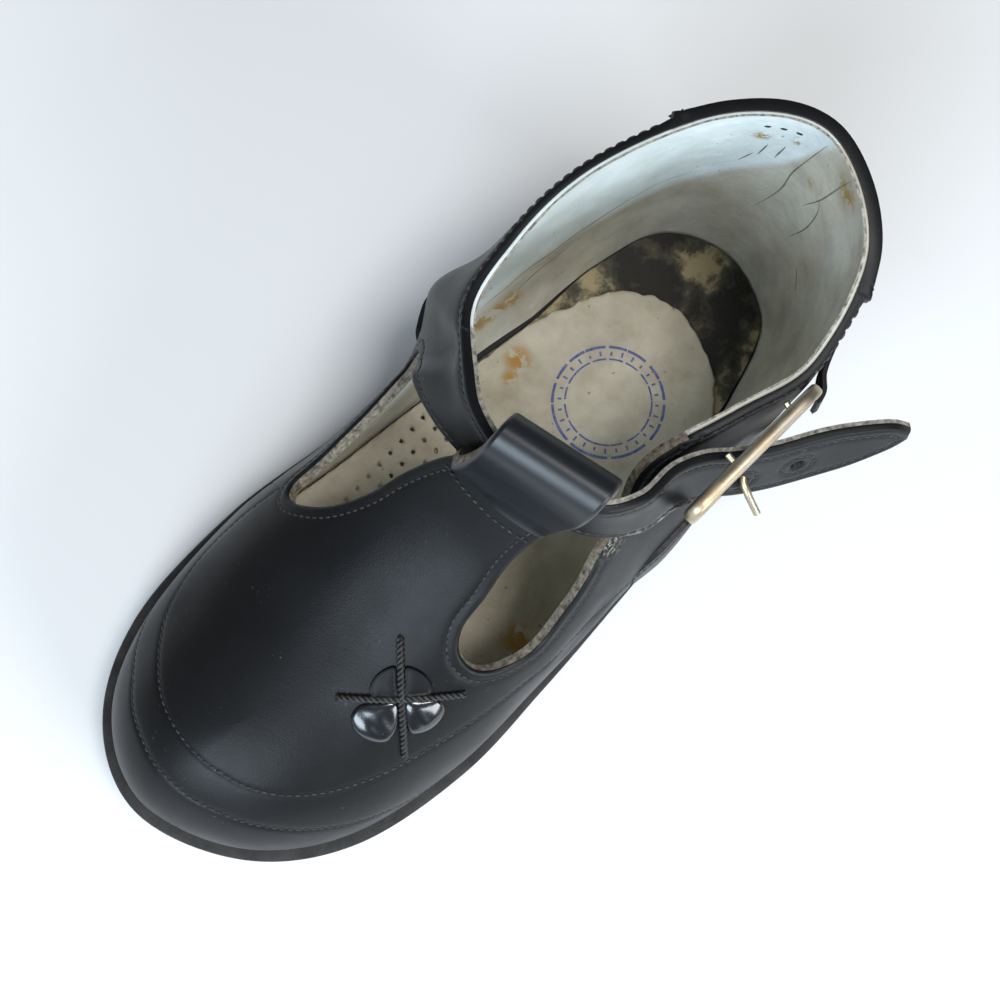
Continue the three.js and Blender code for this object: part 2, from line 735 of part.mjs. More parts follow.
// Strap with the hole that the prong stands in
const holeRows = PRONG_ROWS.slice(2, 5);
const strapGeometry = fromSolid(
  solid(ribbon(STRAP_ROWS, LEATHER, STRAP_STEPS)).subtract(solid(wire(holeRows, HOLE_RADIUS, 6, 8))),
);

const loopRows = LOOP_ROWS.map(([x, z, y, half]) => [x - LOOP_SKEW, y + half, z, x + LOOP_SKEW, y - half, z]);
const chapeRows = CHAPE_ROWS.map(([x, upperY, upperZ, lowerY, lowerZ]) => [x, upperY, upperZ, x, lowerY, lowerZ]);

const cordGeometry = fromSolid(
  solid(cord([ORNAMENT_ARM_BACK, 0], [-ORNAMENT_ARM_FRONT, 0]))
    .add(solid(cord([0, ORNAMENT_ARM_SIDE], [0, -ORNAMENT_ARM_SIDE]))),
);

const counterTop = (q) => mix(0.6, 0.34, ease(Math.abs(q - HEEL_RIB) / 2.3));
const tabLow = (q) => 0.985 - 0.185 * Math.sqrt(1 - Math.min(1, (Math.abs(q - HEEL_RIB) / 1.4) ** 4) * 0.97);
const footEdge = (q) => climbTo(q, WELT_HEIGHT + 3 * GAP);

const soleTop = (x) => seat(x) - GAP;
const insoleUnder = (x) => seat(x) + GAP;
const insoleTop = (x) => seat(x) + GAP + INSOLE_THICK;

const BLACK_LEATHER = { color: 0x14161a, roughness: 0.42, metalness: 0 };
const PATENT = { color: 0x0c0f14, roughness: 0.15, metalness: 0 };
const RUBBER = { color: 0x17181a, roughness: 0.7, metalness: 0 };
const SOCK = { color: 0xc9b794, roughness: 0.8, metalness: 0 };
const METAL = { color: 0xd8cba8, roughness: 0.28, metalness: 1 };

const pieces = {
  upper: [upperGeometry, BLACK_LEATHER],
  outsole: [plate(SOLE_OUTSET, soleTop, tread, SOLE_EDGE_ROUND), RUBBER],
  welt: [weltBand(), RUBBER],
  insole: [plate(-INSOLE_INSET, insoleTop, insoleUnder, 0), SOCK],
  heel_counter: [panel(HEEL_RIB - 2.3, HEEL_RIB + 2.3, footEdge, counterTop, OVERLAY, 22, 5), BLACK_LEATHER],
  back_tab: [panel(HEEL_RIB - 1.39, HEEL_RIB + 1.39, tabLow, () => 0.985, OVERLAY, 20, 3), BLACK_LEATHER],
  vamp_wing_lateral: [panel(5.75, 7.62, footEdge, () => 0.36, OVERLAY, 10, 4), BLACK_LEATHER],
  vamp_wing_medial: [panel(12.38, 14.3, footEdge, () => 0.36, OVERLAY, 10, 4), BLACK_LEATHER],
  t_bar_loop: [ribbon(loopRows, LEATHER, 26), BLACK_LEATHER],
  strap: [strapGeometry, BLACK_LEATHER],
  buckle_frame: [frameBar(), METAL],
  buckle_prong: [wire(PRONG_ROWS, PRONG_RADIUS, 16, 8), METAL],
  buckle_chape: [ribbon(chapeRows, OVERLAY, 12), BLACK_LEATHER],
  ornament_cord: [cordGeometry, BLACK_LEATHER],
};
for (const [name, row] of Object.entries(PETALS)) {
  pieces[name] = [petal(row), PATENT];
}

const bootie = new THREE.Group();
bootie.name = 'ankle_bootie';
for (const [name, [geometry, look]] of Object.entries(pieces)) {
  geometry.translate(-HEEL_REST_X, 0, 0);
  geometry.computeVertexNormals();
  const mesh = new THREE.Mesh(geometry, new THREE.MeshStandardMaterial(look));
  mesh.name = name;
  bootie.add(mesh);
}

export default bootie;
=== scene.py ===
import math

import bpy
import numpy as np
from mathutils import Matrix, Vector, kdtree
from mathutils.bvhtree import BVHTree


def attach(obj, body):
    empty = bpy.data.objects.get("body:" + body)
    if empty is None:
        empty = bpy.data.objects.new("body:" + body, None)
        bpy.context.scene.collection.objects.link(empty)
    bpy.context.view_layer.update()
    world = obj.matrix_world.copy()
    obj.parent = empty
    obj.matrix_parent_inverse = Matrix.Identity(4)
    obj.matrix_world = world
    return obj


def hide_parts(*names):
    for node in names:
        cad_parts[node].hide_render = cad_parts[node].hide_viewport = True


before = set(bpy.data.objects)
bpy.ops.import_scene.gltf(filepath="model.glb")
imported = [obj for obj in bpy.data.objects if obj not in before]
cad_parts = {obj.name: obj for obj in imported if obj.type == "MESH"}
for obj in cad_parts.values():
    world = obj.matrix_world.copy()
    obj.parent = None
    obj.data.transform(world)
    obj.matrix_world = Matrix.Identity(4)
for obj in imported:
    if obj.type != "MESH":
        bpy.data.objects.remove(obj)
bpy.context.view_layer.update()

# Shoe sizes in millimetres: x from the heel to the toe, y to the lateral side, z up
HEEL_REST_X = 24.0
GAP = 0.3
WALL = 2.2
LEATHER = 1.3
OVERLAY = 0.9
LINING_GAP = 0.02
STITCH_INSET, FURROW_WIDTH = 2.1, 0.5
HEEL_SEAT, BALL_SEAT, TOE_RISE = 14.0, 8.0, 5.0
SEAT_SLOPE_FROM, SEAT_SLOPE_TO = 35.0, 105.0
SPRING_FROM, SPRING_RUN = 118.0, 45.0
TREAD_SPRING, TREAD_FROM = 8.0, 122.0
ARCH_LIFT, HEEL_BREAST, BREAST_RUN, FOREFOOT_FLAT = 4.5, 44.0, 9.0, 84.0
SOLE_OUTSET, WELT_OUTSET, WELT_HEIGHT = 3.0, 2.7, 3.2
INSOLE_INSET = WALL + 0.15
BOARD_THICK, SOCK_THICK = 1.6, 0.8
CROWN_FROM, CROWN_LOW, CROWN_GAIN, CROWN_RUN = 93.0, 36.5, 19.5, 25.0

# Ribs of the last: foot x, foot y, top x, top y, top z, arch, fullness, bulge
LATERAL = [
    (162, -10.5, 134, -5.5, 40, 1, 2.3, 0.5),
    (155.5, 9, 131, -5, 41, 1, 2.3, 0.8),
    (140.5, 22, 124, -4, 43, 1, 2.2, 1),
    (118, 28, 109, -2, 47, 1, 2.2, 1.5),
    (96, 28.5, 93, 0, 56, 1, 2.1, 2.2),
    (77, 28, 77, 1.5, 74, 0.8, 1.9, 3.2),
    (60, 27, 62, 14, 69, 0.3, 1.9, 4.5),
    (43, 23.5, 45, 21, 68, 0, 1.6, 4.5),
    (26, 21.5, 31, 24.5, 69.5, 0, 1.6, 3),
    (9.5, 15.5, 13, 18, 75, 0, 1.6, 2),
    (3, 0, 4, 1, 77, 0, 1.6, 2.5),
]
MEDIAL = [
    (154.5, -26, 131, -5, 41, 1, 2.3, 0.8),
    (137.3, -34.5, 124, -4, 43, 1, 2.2, 1),
    (112, -35.2, 109, -2, 47, 1, 2.4, 1.6),
    (90, -31.4, 93, 0, 56, 1, 2.3, 1.4),
    (73, -28.6, 77, 1.5, 74, 0.8, 2.3, 3.4),
    (58, -25.5, 67, -20.5, 71, 0.3, 2.2, 10.5),
    (43, -22.5, 50, -26, 69, 0, 1.6, 6),
    (26, -21, 31, -24.5, 70, 0, 1.6, 2.5),
    (9.5, -15, 12, -14, 75, 0, 1.6, 2),
]
RING = np.array(LATERAL + MEDIAL[::-1], float)
RIBS = len(RING)
HEEL_RIB = RIBS // 2
THROAT_RIB = 5

# Cut-out outlines, x y z on the leather, seen along their own aim
LATERAL_AIM = (0.25, 0.62, 0.74)
LATERAL_CUT = [
    (103.6, 14.6, 46.4), (103.4, 18.6, 43.6), (100, 21.6, 42), (93.8, 23.4, 41.9), (85.2, 22.2, 49),
    (79.8, 20.7, 54), (75.2, 19.3, 56.5), (70, 18.8, 57.5), (67.2, 17.2, 60.6), (64.7, 15.8, 63.2),
    (62.5, 15.5, 65.1), (60.2, 15.8, 66.6), (56.9, 16.8, 67.8), (51.5, 18.6, 69.8), (54, 8, 82),
    (66, 3, 88), (75, 4, 84), (79.6, 11.6, 67.5), (83, 10.6, 64.6), (87.3, 10.2, 60.3),
    (94, 10.8, 53.6), (100.5, 11.8, 49.3),
]
MEDIAL_AIM = (0.25, -0.62, 0.74)
MEDIAL_CUT = [
    (103, -26.5, 38.5), (100.6, -21, 45), (94.1, -16.1, 51.2), (87.7, -13.6, 57.4), (83.7, -11.2, 62.9),
    (79.5, -7, 72), (72, -4, 84), (71, -12, 84), (71, -20, 73.5), (71.6, -24.6, 61),
    (72.8, -26.4, 53.8), (72.2, -27.4, 50.8), (70.9, -28.2, 48.8), (69.8, -28.6, 46.8), (69.8, -28.6, 44),
    (71.4, -28.5, 42.4), (76, -28.2, 42.4),
    (85.7, -28.6, 41), (95, -29.2, 38.5), (101, -28.8, 36.8),
]
CUT_REACH, CUT_DEPTH = 34.0, 16.0
SEAM_AT = np.array((82.9, 0, 65.2))
SEAM_CLIMB = np.array((-0.62, 0, 0.78))
SEAM_BACK = 0.6
SEAM_STITCH_SHIFT, SEAM_STITCH_UP = (1.5, 0, -1.6), (0.8, 0, 0.62)
QUARTER_RIBS = (12.6, 15.6)
JOINT_X, JOINT_Z, JOINT_LEAN = 66.6, 71.0, 0.175

# T-bar fold round the strap: x, z, middle y, half width
LOOP_SKEW, SEAM_RUN, FOLD_THICK = 1.6, 5.0, 2.6
LOOP_ROWS = [
    (81.7, 70, 2, 9.4), (80.4, 75, 3.4, 9.2), (79.6, 80, 4.2, 9.2),
    (78.2, 84, 4.4, 9.2), (75.5, 85.6, 4.4, 9.2), (73, 83.6, 4.4, 9.2), (72.4, 78.5, 4.3, 9.2),
    (72.8, 72, 4, 9.2), (74, 65.5, 3.4, 9.2), (75.6, 60.5, 2.6, 9.2),
]

# Strap beyond the medial quarter: upper edge x y z, lower edge x y z
STRAP_ROWS = [
    (71.9, -14.6, 72.8, 75.2, -23.6, 54.4),
    (75, -9.8, 74, 78.4, -14.4, 58.2),
    (77.2, -3, 75.6, 79.2, -4.4, 59.8),
    (76.4, 5, 76.4, 77.8, 5, 60.4),
    (74.1, 13.2, 76.2, 75.6, 14.4, 60.4),
    (68.2, 17.2, 74.8, 69.4, 20.8, 59.2),
    (60.8, 18, 71.8, 61.8, 22.8, 56.6),
    (55.2, 20.4, 69, 56, 25.8, 54),
    (50.8, 23.9, 66.6, 51.4, 29.4, 51.8),
    (45.7, 27.8, 65.2, 46.2, 33, 50.4),
    (38.2, 32.3, 64.5, 38.9, 37.6, 51.4),
    (33.5, 35.7, 64, 34.2, 40.4, 53),
    (28.3, 40.2, 63, 28.7, 43, 55.4),
    (25.7, 43.2, 60.4, 25.8, 43.8, 57.8),
]
STRAP_HOLES = [(50.9, 27.2, 57.6), (42.0, 32.4, 57.4)]
HOLE_RADIUS = 1.0
BAND_HALF, STRAP_THICK, STRAP_ROUND = 1.0, 2.05, 1.1
JOINT_RUN, LIFT_RUN = 8.0, 16.0
# Share of the quarter's swell that the first strap rows keep
SWELL_LEFT = (0.75, 0.35, 0.1)

# Buckle
FRAME_CORNERS = [(63.8, 24.8, 70), (35.6, 26.4, 69.2), (28.8, 28.4, 49), (59, 27, 49)]
FRAME_REACH, BAR_WIDTH, BAR_THICK = 3.2, 2.4, 2.3
PRONG_ROWS = [
    (32.6, 27.8, 58.6), (42, 27, 58.2), (47.6, 27.3, 57.8),
    (50.4, 28.2, 57.4), (51.6, 30.4, 56.8), (52.5, 34.2, 54.6),
]
PRONG_RADIUS = 0.65
CHAPE_HALF = 0.4
WIRE_ENDS = [((53.2, 25.2, 69.4), (52.9, 22.8, 69.6)), ((40.6, 26.0, 69.0), (40.2, 24.2, 69.4))]
WIRE_RADIUS = 0.55
CHAPE_ROWS = [
    (31.6, 29.1, 56.4, 31.6, 30.1, 50.8),
    (30.6, 29.2, 56.4, 30.6, 30.3, 50.8),
    (28.9, 28.6, 56.4, 28.9, 29.6, 50.8),
    (26.4, 26.6, 56.4, 26.4, 27.3, 50.8),
    (21, 24.7, 56.4, 21, 25.3, 50.8),
]

# Vamp ornament
ORNAMENT_RIB, ORNAMENT_CLIMB = 2.88, 0.745
ORNAMENT_BACK = (-7.8, -7.6, 4.4)
ARM_BACK, ARM_FRONT, ARM_SIDE = 11.5, 12.5, 11.0
CORD_PITCH, STRAND_RADIUS = 2.0, 0.33
# Petal outlines: along the long arm, across it
PETAL_BACK = [
    (0.6, 0.7), (3.4, 0.65), (6.2, 0.9), (5.6, 2.8), (4.2, 4.4), (2.2, 5.3), (0.7, 5.0), (0.5, 3.2),
]
PETAL_FRONT_LEFT = [
    (-0.6, -0.8), (-0.5, -4.0), (-0.9, -7.0), (-2.8, -8.6),
    (-5.6, -8.2), (-7.9, -5.6), (-8.4, -2.6), (-6.0, -0.8),
]
PETAL_FRONT_RIGHT = [
    (-0.6, 0.8), (-0.5, 3.8), (-0.9, 6.4), (-3.0, 7.6),
    (-5.6, 6.6), (-7.4, 4.2), (-7.4, 1.6), (-5.6, 0.8),
]
FLAT_PETAL, DOMED_PETAL, PETAL_RIM = 0.3, 0.9, 0.35

# Lines on the leather: rib counted from the toe (medial ribs negative), climb
TOE_ROW_INNER = [
    (-3.4, 0.4), (-2.83, 0.35), (-2.6, 0.33), (-2.17, 0.39), (-1.89, 0.47), (-1.58, 0.55), (-1.23, 0.62),
    (-0.78, 0.7), (-0.4, 0.745), (0, 0.765), (0.5, 0.745), (1, 0.69), (1.5, 0.63), (2, 0.57), (2.5, 0.52),
    (3.1, 0.47), (3.5, 0.42), (3.8, 0.38), (4.12, 0.35), (4.53, 0.33), (5.28, 0.3),
]
TOE_ROW_OUTER = [
    (-2.25, 0.13), (-2.17, 0.17), (-1.94, 0.26), (-1.77, 0.3), (-1.46, 0.41), (-1.06, 0.47), (-0.72, 0.53),
    (0, 0.58), (0.7, 0.54), (1.3, 0.46), (1.9, 0.36), (2.4, 0.25), (2.8, 0.13),
]
# Top line of the wings and the heel counter: rib, climb
FOXING_TOP = [
    (5.3, 0.31), (5.6, 0.36), (6.0, 0.415), (6.4, 0.43), (6.8, 0.41), (7.2, 0.385), (7.66, 0.36),
    (8.3, 0.39), (9, 0.5), (10, 0.6),
    (11, 0.5), (11.7, 0.39), (12.34, 0.36), (12.9, 0.35), (13.5, 0.33), (14.0, 0.32), (14.5, 0.32),
]
COUNTER_REACH = 2.34
OVERCAST, OVERCAST_CLIMB = [(6.6, 8.5), (11.5, 14.5)], 0.985
INNER_STITCH_RIBS, INNER_STITCH_CLIMB = (10.2, 10.66), 0.93
TAB_REACH, TAB_SIDE_FROM = 1.4, 0.955
# Soft dents and creases of the leather: start x y z, end x y z, depth, width
CREASES = [
    (126, 8, 44, 133, 14, 36, 0.25, 5), (120, -18, 42, 128, -26, 33, 0.3, 6),
    (88, 27, 32, 80, 27, 40, 0.35, 3), (96, -29, 30, 88, -29, 33, 0.35, 3),
    (52, 28, 40, 44, 27.5, 50, 0.4, 3.5), (36, 27, 44, 30, 27, 56, 0.35, 3),
    (56, -27, 44, 48, -28, 56, 0.35, 3.5), (40, -26, 38, 34, -26, 52, 0.3, 3),
    (6, -8, 48, 8, -13, 60, 0.3, 3), (6, 9, 46, 9, 14, 58, 0.3, 3),
]
# Lower edge of the painted lit band of the lining, with painted shade below it: rib, climb
LIT_BAND_LOW = [
    (9.85, 1.05), (10.09, 0.8), (10.22, 0.68), (10.56, 0.58), (10.85, 0.47), (11.46, 0.4), (12.0, 0.37),
    (12.33, 0.36), (12.96, 0.3), (13.44, 0.18), (14.0, 0.12),
]
# Dark lines of painted shade in the creases of the lining: rows of rib, climb
LINING_LINES = [
    [(9.94, 0.97), (10.01, 0.84), (10.07, 0.69), (10.05, 0.57), (10.09, 0.46), (10.18, 0.33)],
    [(9.54, 0.99), (9.59, 0.89), (9.65, 0.73), (9.75, 0.59)],
    [(9.65, 0.73), (9.58, 0.65), (9.57, 0.52), (9.63, 0.39)],
    [(10.64, 0.64), (10.56, 0.72)], [(10.51, 0.71), (10.49, 0.8)], [(10.34, 0.72), (10.32, 0.82)],
    [(9.33, 0.36), (9.2, 0.33), (9.1, 0.31)],
    [(11.0, 0.53), (11.6, 0.44), (12.2, 0.36), (12.9, 0.29), (13.5, 0.17)],
    [(12.1, 0.3), (12.6, 0.26), (13.0, 0.2)],
]
# Soft creases of the lining: start x y z, end x y z, depth, width
LINING_CREASES = [
    (8, -3, 68, 6, 2, 56, 0.5, 1.6), (8, 9, 72, 6, 5, 58, 0.5, 1.6), (5, 0, 54, 6, 6, 44, 0.4, 1.6),
    (22, -19, 44, 36, -24, 32, 0.35, 1.6), (36, -24, 30, 50, -27, 22, 0.35, 1.6),
    (12, -14, 46, 24, -20, 36, 0.3, 1.6),
]
# Worn flakes: x y z, radius
FLAKES = [
    (44.8, -25.1, 23.4, 2.6), (47.6, -25.8, 22.2, 2.0), (49.9, -26.4, 21, 1.8), (52.4, -27, 20.3, 2.0),
    (51, -29.6, 29.3, 2.0), (8.2, -7.6, 67.2, 1.5), (5.9, -2.4, 69.2, 1.3), (8, 9.4, 72, 3.2),
    (4.8, 3.6, 60, 1.2), (51.3, -16.8, 15.8, 2.8), (55, -15.5, 15.4, 1.8), (92.1, 20.8, 11.2, 3.4),
]
# Frayed leather: x y z, radius
FRAYS = [(69.3, 18.6, 58.2, 3.6), (64.2, 20.5, 57, 4.2), (60.6, 24, 54, 3.4), (73, 19.4, 56.6, 3.0)]

# Sock: rear edge x y, ring stamp, ventilation holes
SOCK_REAR = [
    (60, -23.5), (46, -20.5), (35.3, -16.3), (27.6, -12.1), (22.8, -5.7), (21.6, 1.6), (24, 9.2),
    (27.5, 15.1), (33, 19.6), (44, 24), (60, 27),
]
STAMP_AT, STAMP_RADII = (45.3, 2.2), (11.2, 8.7)
STAMP_ARCS, STAMP_TICKS = 16, 28
VENT_RADIUS, VENT_PITCH = 0.5, 3.2
VENT_X, VENT_Y = (66, 100), (-23, -5)
SLOTS = [(72, 0), (79, 0), (86, 0), (93, 0)]
SLOT_HALF = (1.8, 0.7)

# Camera solved from the photo, turned to hold the whole shoe
CAMERA_AT = (110.0, 8.7, 257.8)
CAMERA_RIGHT = (-0.67175, 0.73633, 0.08104)
CAMERA_DOWN = (0.68276, 0.65787, -0.31786)
FOCAL = 1.243
AIM_RIGHT, AIM_DOWN = -0.013, 0.242


# Small mathematics

def ease(t):
    c = np.clip(t, 0, 1)
    return c * c * (3 - 2 * c)


def mix(a, b, t):
    return a + (b - a) * t


def size(a):
    return np.linalg.norm(a, axis=-1)


def unit(a):
    a = np.asarray(a, float)
    return a / np.maximum(size(a)[..., None], 1e-12)


def through(p0, p1, p2, p3, t):
    """Smooth run through four rows."""
    return 0.5 * (2 * p1 + (p2 - p0) * t + (2 * p0 - 5 * p1 + 4 * p2 - p3) * t ** 2
                  + (3 * p1 - p0 - 3 * p2 + p3) * t ** 3)


def loft(rows, steps, first=0):
    """Smooth run of rows of points, from the row numbered first."""
    rows = np.asarray(rows, float)
    ends = np.concatenate([rows[:1], rows, rows[-1:]])
    t = np.linspace(first, len(rows) - 1, steps + 1)
    i = np.minimum(t.astype(int), len(rows) - 2)
    f = (t - i).reshape((-1,) + (1,) * (rows.ndim - 1))
    return through(ends[i], ends[i + 1], ends[i + 2], ends[i + 3], f)


def smooth_table(table, x):
    """Value of a two-column table with softened corners."""
    xs, ys = np.array(table, float).T
    spread = [np.interp(x + s, xs, ys) for s in (-0.15, -0.075, 0, 0.075, 0.15)]
    return np.mean(spread, axis=0)


def smooth_loop(rows, per_row=12):
    """Closed centripetal run through the rows."""
    rows = np.array(rows, float)
    a, b, c, d = (np.roll(rows, turn, axis=0)[:, None] for turn in (1, 0, -1, -2))
    gaps = [size(q - p)[..., None] ** 0.5 for p, q in ((a, b), (b, c), (c, d))]
    t1, t2, t3 = np.cumsum(gaps, axis=0)
    t = mix(t1, t2, np.arange(per_row)[:, None] / per_row)
    ab, bc, cd = mix(a, b, t / t1), mix(b, c, (t - t1) / (t2 - t1)), mix(c, d, (t - t2) / (t3 - t2))
    abc, bcd = mix(ab, bc, t / t2), mix(bc, cd, (t - t1) / (t3 - t1))
    return mix(abc, bcd, (t - t1) / (t2 - t1)).reshape(-1, rows.shape[1])


def segment_distance(points, a, b):
    a, b = np.asarray(a, float), np.asarray(b, float)
    d = b - a
    t = np.clip(((points - a) @ d) / (d @ d), 0, 1)
    return size(points - a - t[:, None] * d)


def polygon_distance(points, polygon):
    """Distance to a closed outline in its plane, negative inside."""
    best = np.full(len(points), 1e9)
    inside = np.zeros(len(points), bool)
    for a, b in zip(polygon, np.roll(polygon, -1, axis=0)):
        best = np.minimum(best, segment_distance(points, a, b))
        crosses = (a[1] > points[:, 1]) != (b[1] > points[:, 1])
        rise = b[1] - a[1] if b[1] != a[1] else 1e-12
        inside ^= crosses & (points[:, 0] < a[0] + (points[:, 1] - a[1]) * (b[0] - a[0]) / rise)
    return np.where(inside, -best, best)


def distance_to(points, targets):
    tree = kdtree.KDTree(len(targets))
    for i, p in enumerate(targets):
        tree.insert(p, i)
    tree.balance()
    return np.array([tree.find(p)[2] for p in points])


def wander(points, scale, seed):
    """Slow wander between -1 and 1 over space."""
    rng = np.random.default_rng(seed)
    total = np.zeros(len(points))
    for k in range(6):
        direction = unit(rng.normal(size=3)) * (1 + 0.35 * k) / scale
        total += np.sin(points @ direction * 2 * math.pi + rng.uniform(0, 2 * math.pi)) / (1 + 0.4 * k)
    return total / 3.2


def run_along(path):
    """Length from the start at every point of a path."""
    return np.concatenate([[0], np.cumsum(size(np.diff(path, axis=0)))])


def read_along(at, run, rows):
    """Rows read at lengths along a path."""
    return np.stack([np.interp(at, run, column) for column in np.transpose(rows)], 1)


def grid_tris(ids):
    """Two triangles for each cell of a grid of point numbers."""
    a, b, c, d = (rows.ravel() for rows in (ids[:-1, :-1], ids[1:, :-1], ids[1:, 1:], ids[:-1, 1:]))
    return np.concatenate([np.stack([a, b, c], 1), np.stack([a, c, d], 1)])


def closed_rows(ids):
    """Grid of point numbers whose rows end where they start."""
    return np.hstack([ids, ids[:, :1]])


def disc_tris(rings, spokes):
    """Triangles of a middle point and rings of points round it."""
    ids = closed_rows(np.arange(rings * spokes).reshape(rings, spokes) + 1)
    fan = np.stack([np.zeros(spokes, int), ids[0, :-1], ids[0, 1:]], 1)
    return np.concatenate([fan, grid_tris(ids)])


# The last

def seat(x):
    slope = ease((x - SEAT_SLOPE_FROM) / (SEAT_SLOPE_TO - SEAT_SLOPE_FROM))
    return mix(HEEL_SEAT, BALL_SEAT, slope) + TOE_RISE * np.maximum(0, (x - SPRING_FROM) / SPRING_RUN) ** 2


def tread(x):
    up = ease((x - HEEL_BREAST) / BREAST_RUN)
    down = 1 - ease((x - HEEL_BREAST - BREAST_RUN) / (FOREFOOT_FLAT - HEEL_BREAST - BREAST_RUN))
    return ARCH_LIFT * up * down + TREAD_SPRING * np.maximum(0, (x - TREAD_FROM) / SPRING_RUN) ** 2


def crown(x):
    return CROWN_LOW + CROWN_GAIN * np.exp((CROWN_FROM - x) / CROWN_RUN)


def rib(q):
    q = np.asarray(q, float)
    i = np.floor(q).astype(int)
    return through(*(RING[(i + k) % RIBS] for k in (-1, 0, 1, 2)), (q - i)[..., None])


def outward(q):
    d = rib(q + 1e-3) - rib(q - 1e-3)
    return unit(np.stack([d[..., 1], -d[..., 0]], -1))


def face(q, v):
    """Outer face of the leather: q counts ribs, v climbs from the feather line to the top."""
    q, v = np.broadcast_arrays(np.asarray(q, float), np.asarray(v, float))
    r = rib(q)
    turn = np.mod(q, RIBS)
    from_toe = np.minimum(turn, RIBS - turn)
    share = np.where(from_toe <= THROAT_RIB, 0.5, 0.0)[..., None]
    top = mix(r[..., 2:5], rib(-q)[..., 2:5], share)
    arch = np.clip(r[..., 5], 0, 1)
    angle = math.pi / 2 * v
    power = 2 / r[..., 6]
    inward = (1 - np.maximum(np.cos(angle), 0) ** power) * arch + v * v * (3 - 2 * v) * (1 - arch)
    climb = np.sin(angle) ** power * arch + v * (1 - arch)
    swell = r[..., 7] * np.sin(math.pi * v ** 0.8)
    out = outward(q)
    x = mix(r[..., 0], top[..., 0], inward) + out[..., 0] * swell
    y = mix(r[..., 1], top[..., 1], inward) + out[..., 1] * swell
    height = mix(top[..., 2], crown(x), ease(THROAT_RIB - from_toe))
    return np.stack([x, y, mix(seat(r[..., 0]), height, climb)], -1)


def face_normal(q, v):
    step = 4e-3
    along = face(q + step, v) - face(q - step, v)
    climb = face(q, np.minimum(v + step, 1)) - face(q, np.maximum(v - step, 0))
    return unit(np.cross(along, climb))


def solve(test, low, high, rounds=30):
    """Point between low and high where the test turns false, for arrays."""
    low, high = np.array(low, float), np.array(high, float)
    for _ in range(rounds):
        middle = (low + high) / 2
        under = test(middle)
        low, high = np.where(under, middle, low), np.where(under, high, middle)
    return low


# Surface pieces

class Patch:
    """Points, normals, triangles and named values at the points."""

    def __init__(self, points, normals, tris, **data):
        self.points = np.asarray(points, float)
        self.normals = unit(normals)
        self.tris = np.asarray(tris, int)
        self.data = {k: np.asarray(a, float) for k, a in data.items()}

    def __getitem__(self, key):
        return self.data[key]

    def __setitem__(self, key, values):
        self.data[key] = values

    def split(self, key, level=0.0, keep=False):
        """Cuts the triangles along a level of a named value; keep drops the low side."""
        g = self[key] - level
        g = np.where(np.abs(g) < 1e-4, 1e-4, g)
        high = g > 0
        count = high[self.tris].sum(1)
        parts = [self.tris[count == 3]] if keep else [self.tris[count == 3], self.tris[count == 0]]
        mixed = (count == 1) | (count == 2)
        t = self.tris[mixed]
        odd_high = count[mixed] == 1
        odd = (high[t] == odd_high[:, None]).argmax(1)
        a, b, c = (t[np.arange(len(t)), (odd + k) % 3] for k in range(3))
        pairs = np.sort(np.concatenate([np.stack([a, b], 1), np.stack([a, c], 1)]), 1)
        ends, back = np.unique(pairs, axis=0, return_inverse=True)
        new = len(self.points) + back.ravel()
        ab, ac = new[:len(t)], new[len(t):]
        i, j = ends.T
        s = g[i] / (g[i] - g[j])
        self.points = np.vstack([self.points, mix(self.points[i], self.points[j], s[:, None])])
        self.normals = np.vstack([self.normals, unit(mix(self.normals[i], self.normals[j], s[:, None]))])
        self.data = {k: np.concatenate([d, mix(d[i], d[j], s)]) for k, d in self.data.items()}
        tip = np.stack([a, ab, ac], 1)
        rest = np.concatenate([np.stack([ab, b, c], 1), np.stack([ab, c, ac], 1)])
        if keep:
            parts += [tip[odd_high], rest[~np.concatenate([odd_high, odd_high])]]
        else:
            parts += [tip, rest]
        self.tris = np.concatenate(parts)
        used, back = np.unique(self.tris, return_inverse=True)
        self.tris = back.reshape(-1, 3)
        self.points, self.normals = self.points[used], self.normals[used]
        self.data = {k: d[used] for k, d in self.data.items()}

    def borders(self):
        """Directed edges that only one triangle uses."""
        t = self.tris
        edges = np.concatenate([t[:, [0, 1]], t[:, [1, 2]], t[:, [2, 0]]])
        keys = edges.min(1) * len(self.points) + edges.max(1)
        _, index, counts = np.unique(keys, return_index=True, return_counts=True)
        return edges[index[counts == 1]]

    def border_points(self, wanted=None, per_edge=4):
        e = self.borders()
        if wanted is not None:
            e = e[wanted[e].all(1)]
        a, b = self.points[e[:, 0]], self.points[e[:, 1]]
        return np.concatenate([mix(a, b, k / per_edge) for k in range(per_edge)])

    def tree(self, offset):
        moved = self.points + self.normals * np.broadcast_to(offset, len(self.points))[:, None]
        return BVHTree.FromPolygons(moved.tolist(), self.tris.tolist())


def grid_patch(grid, **data):
    """Patch over a grid of points; its normal is first direction x second direction."""
    normals = np.cross(np.gradient(grid, axis=0), np.gradient(grid, axis=1))
    ids = np.arange(grid.shape[0] * grid.shape[1]).reshape(grid.shape[:2])
    return Patch(grid.reshape(-1, 3), normals.reshape(-1, 3), grid_tris(ids), **data)


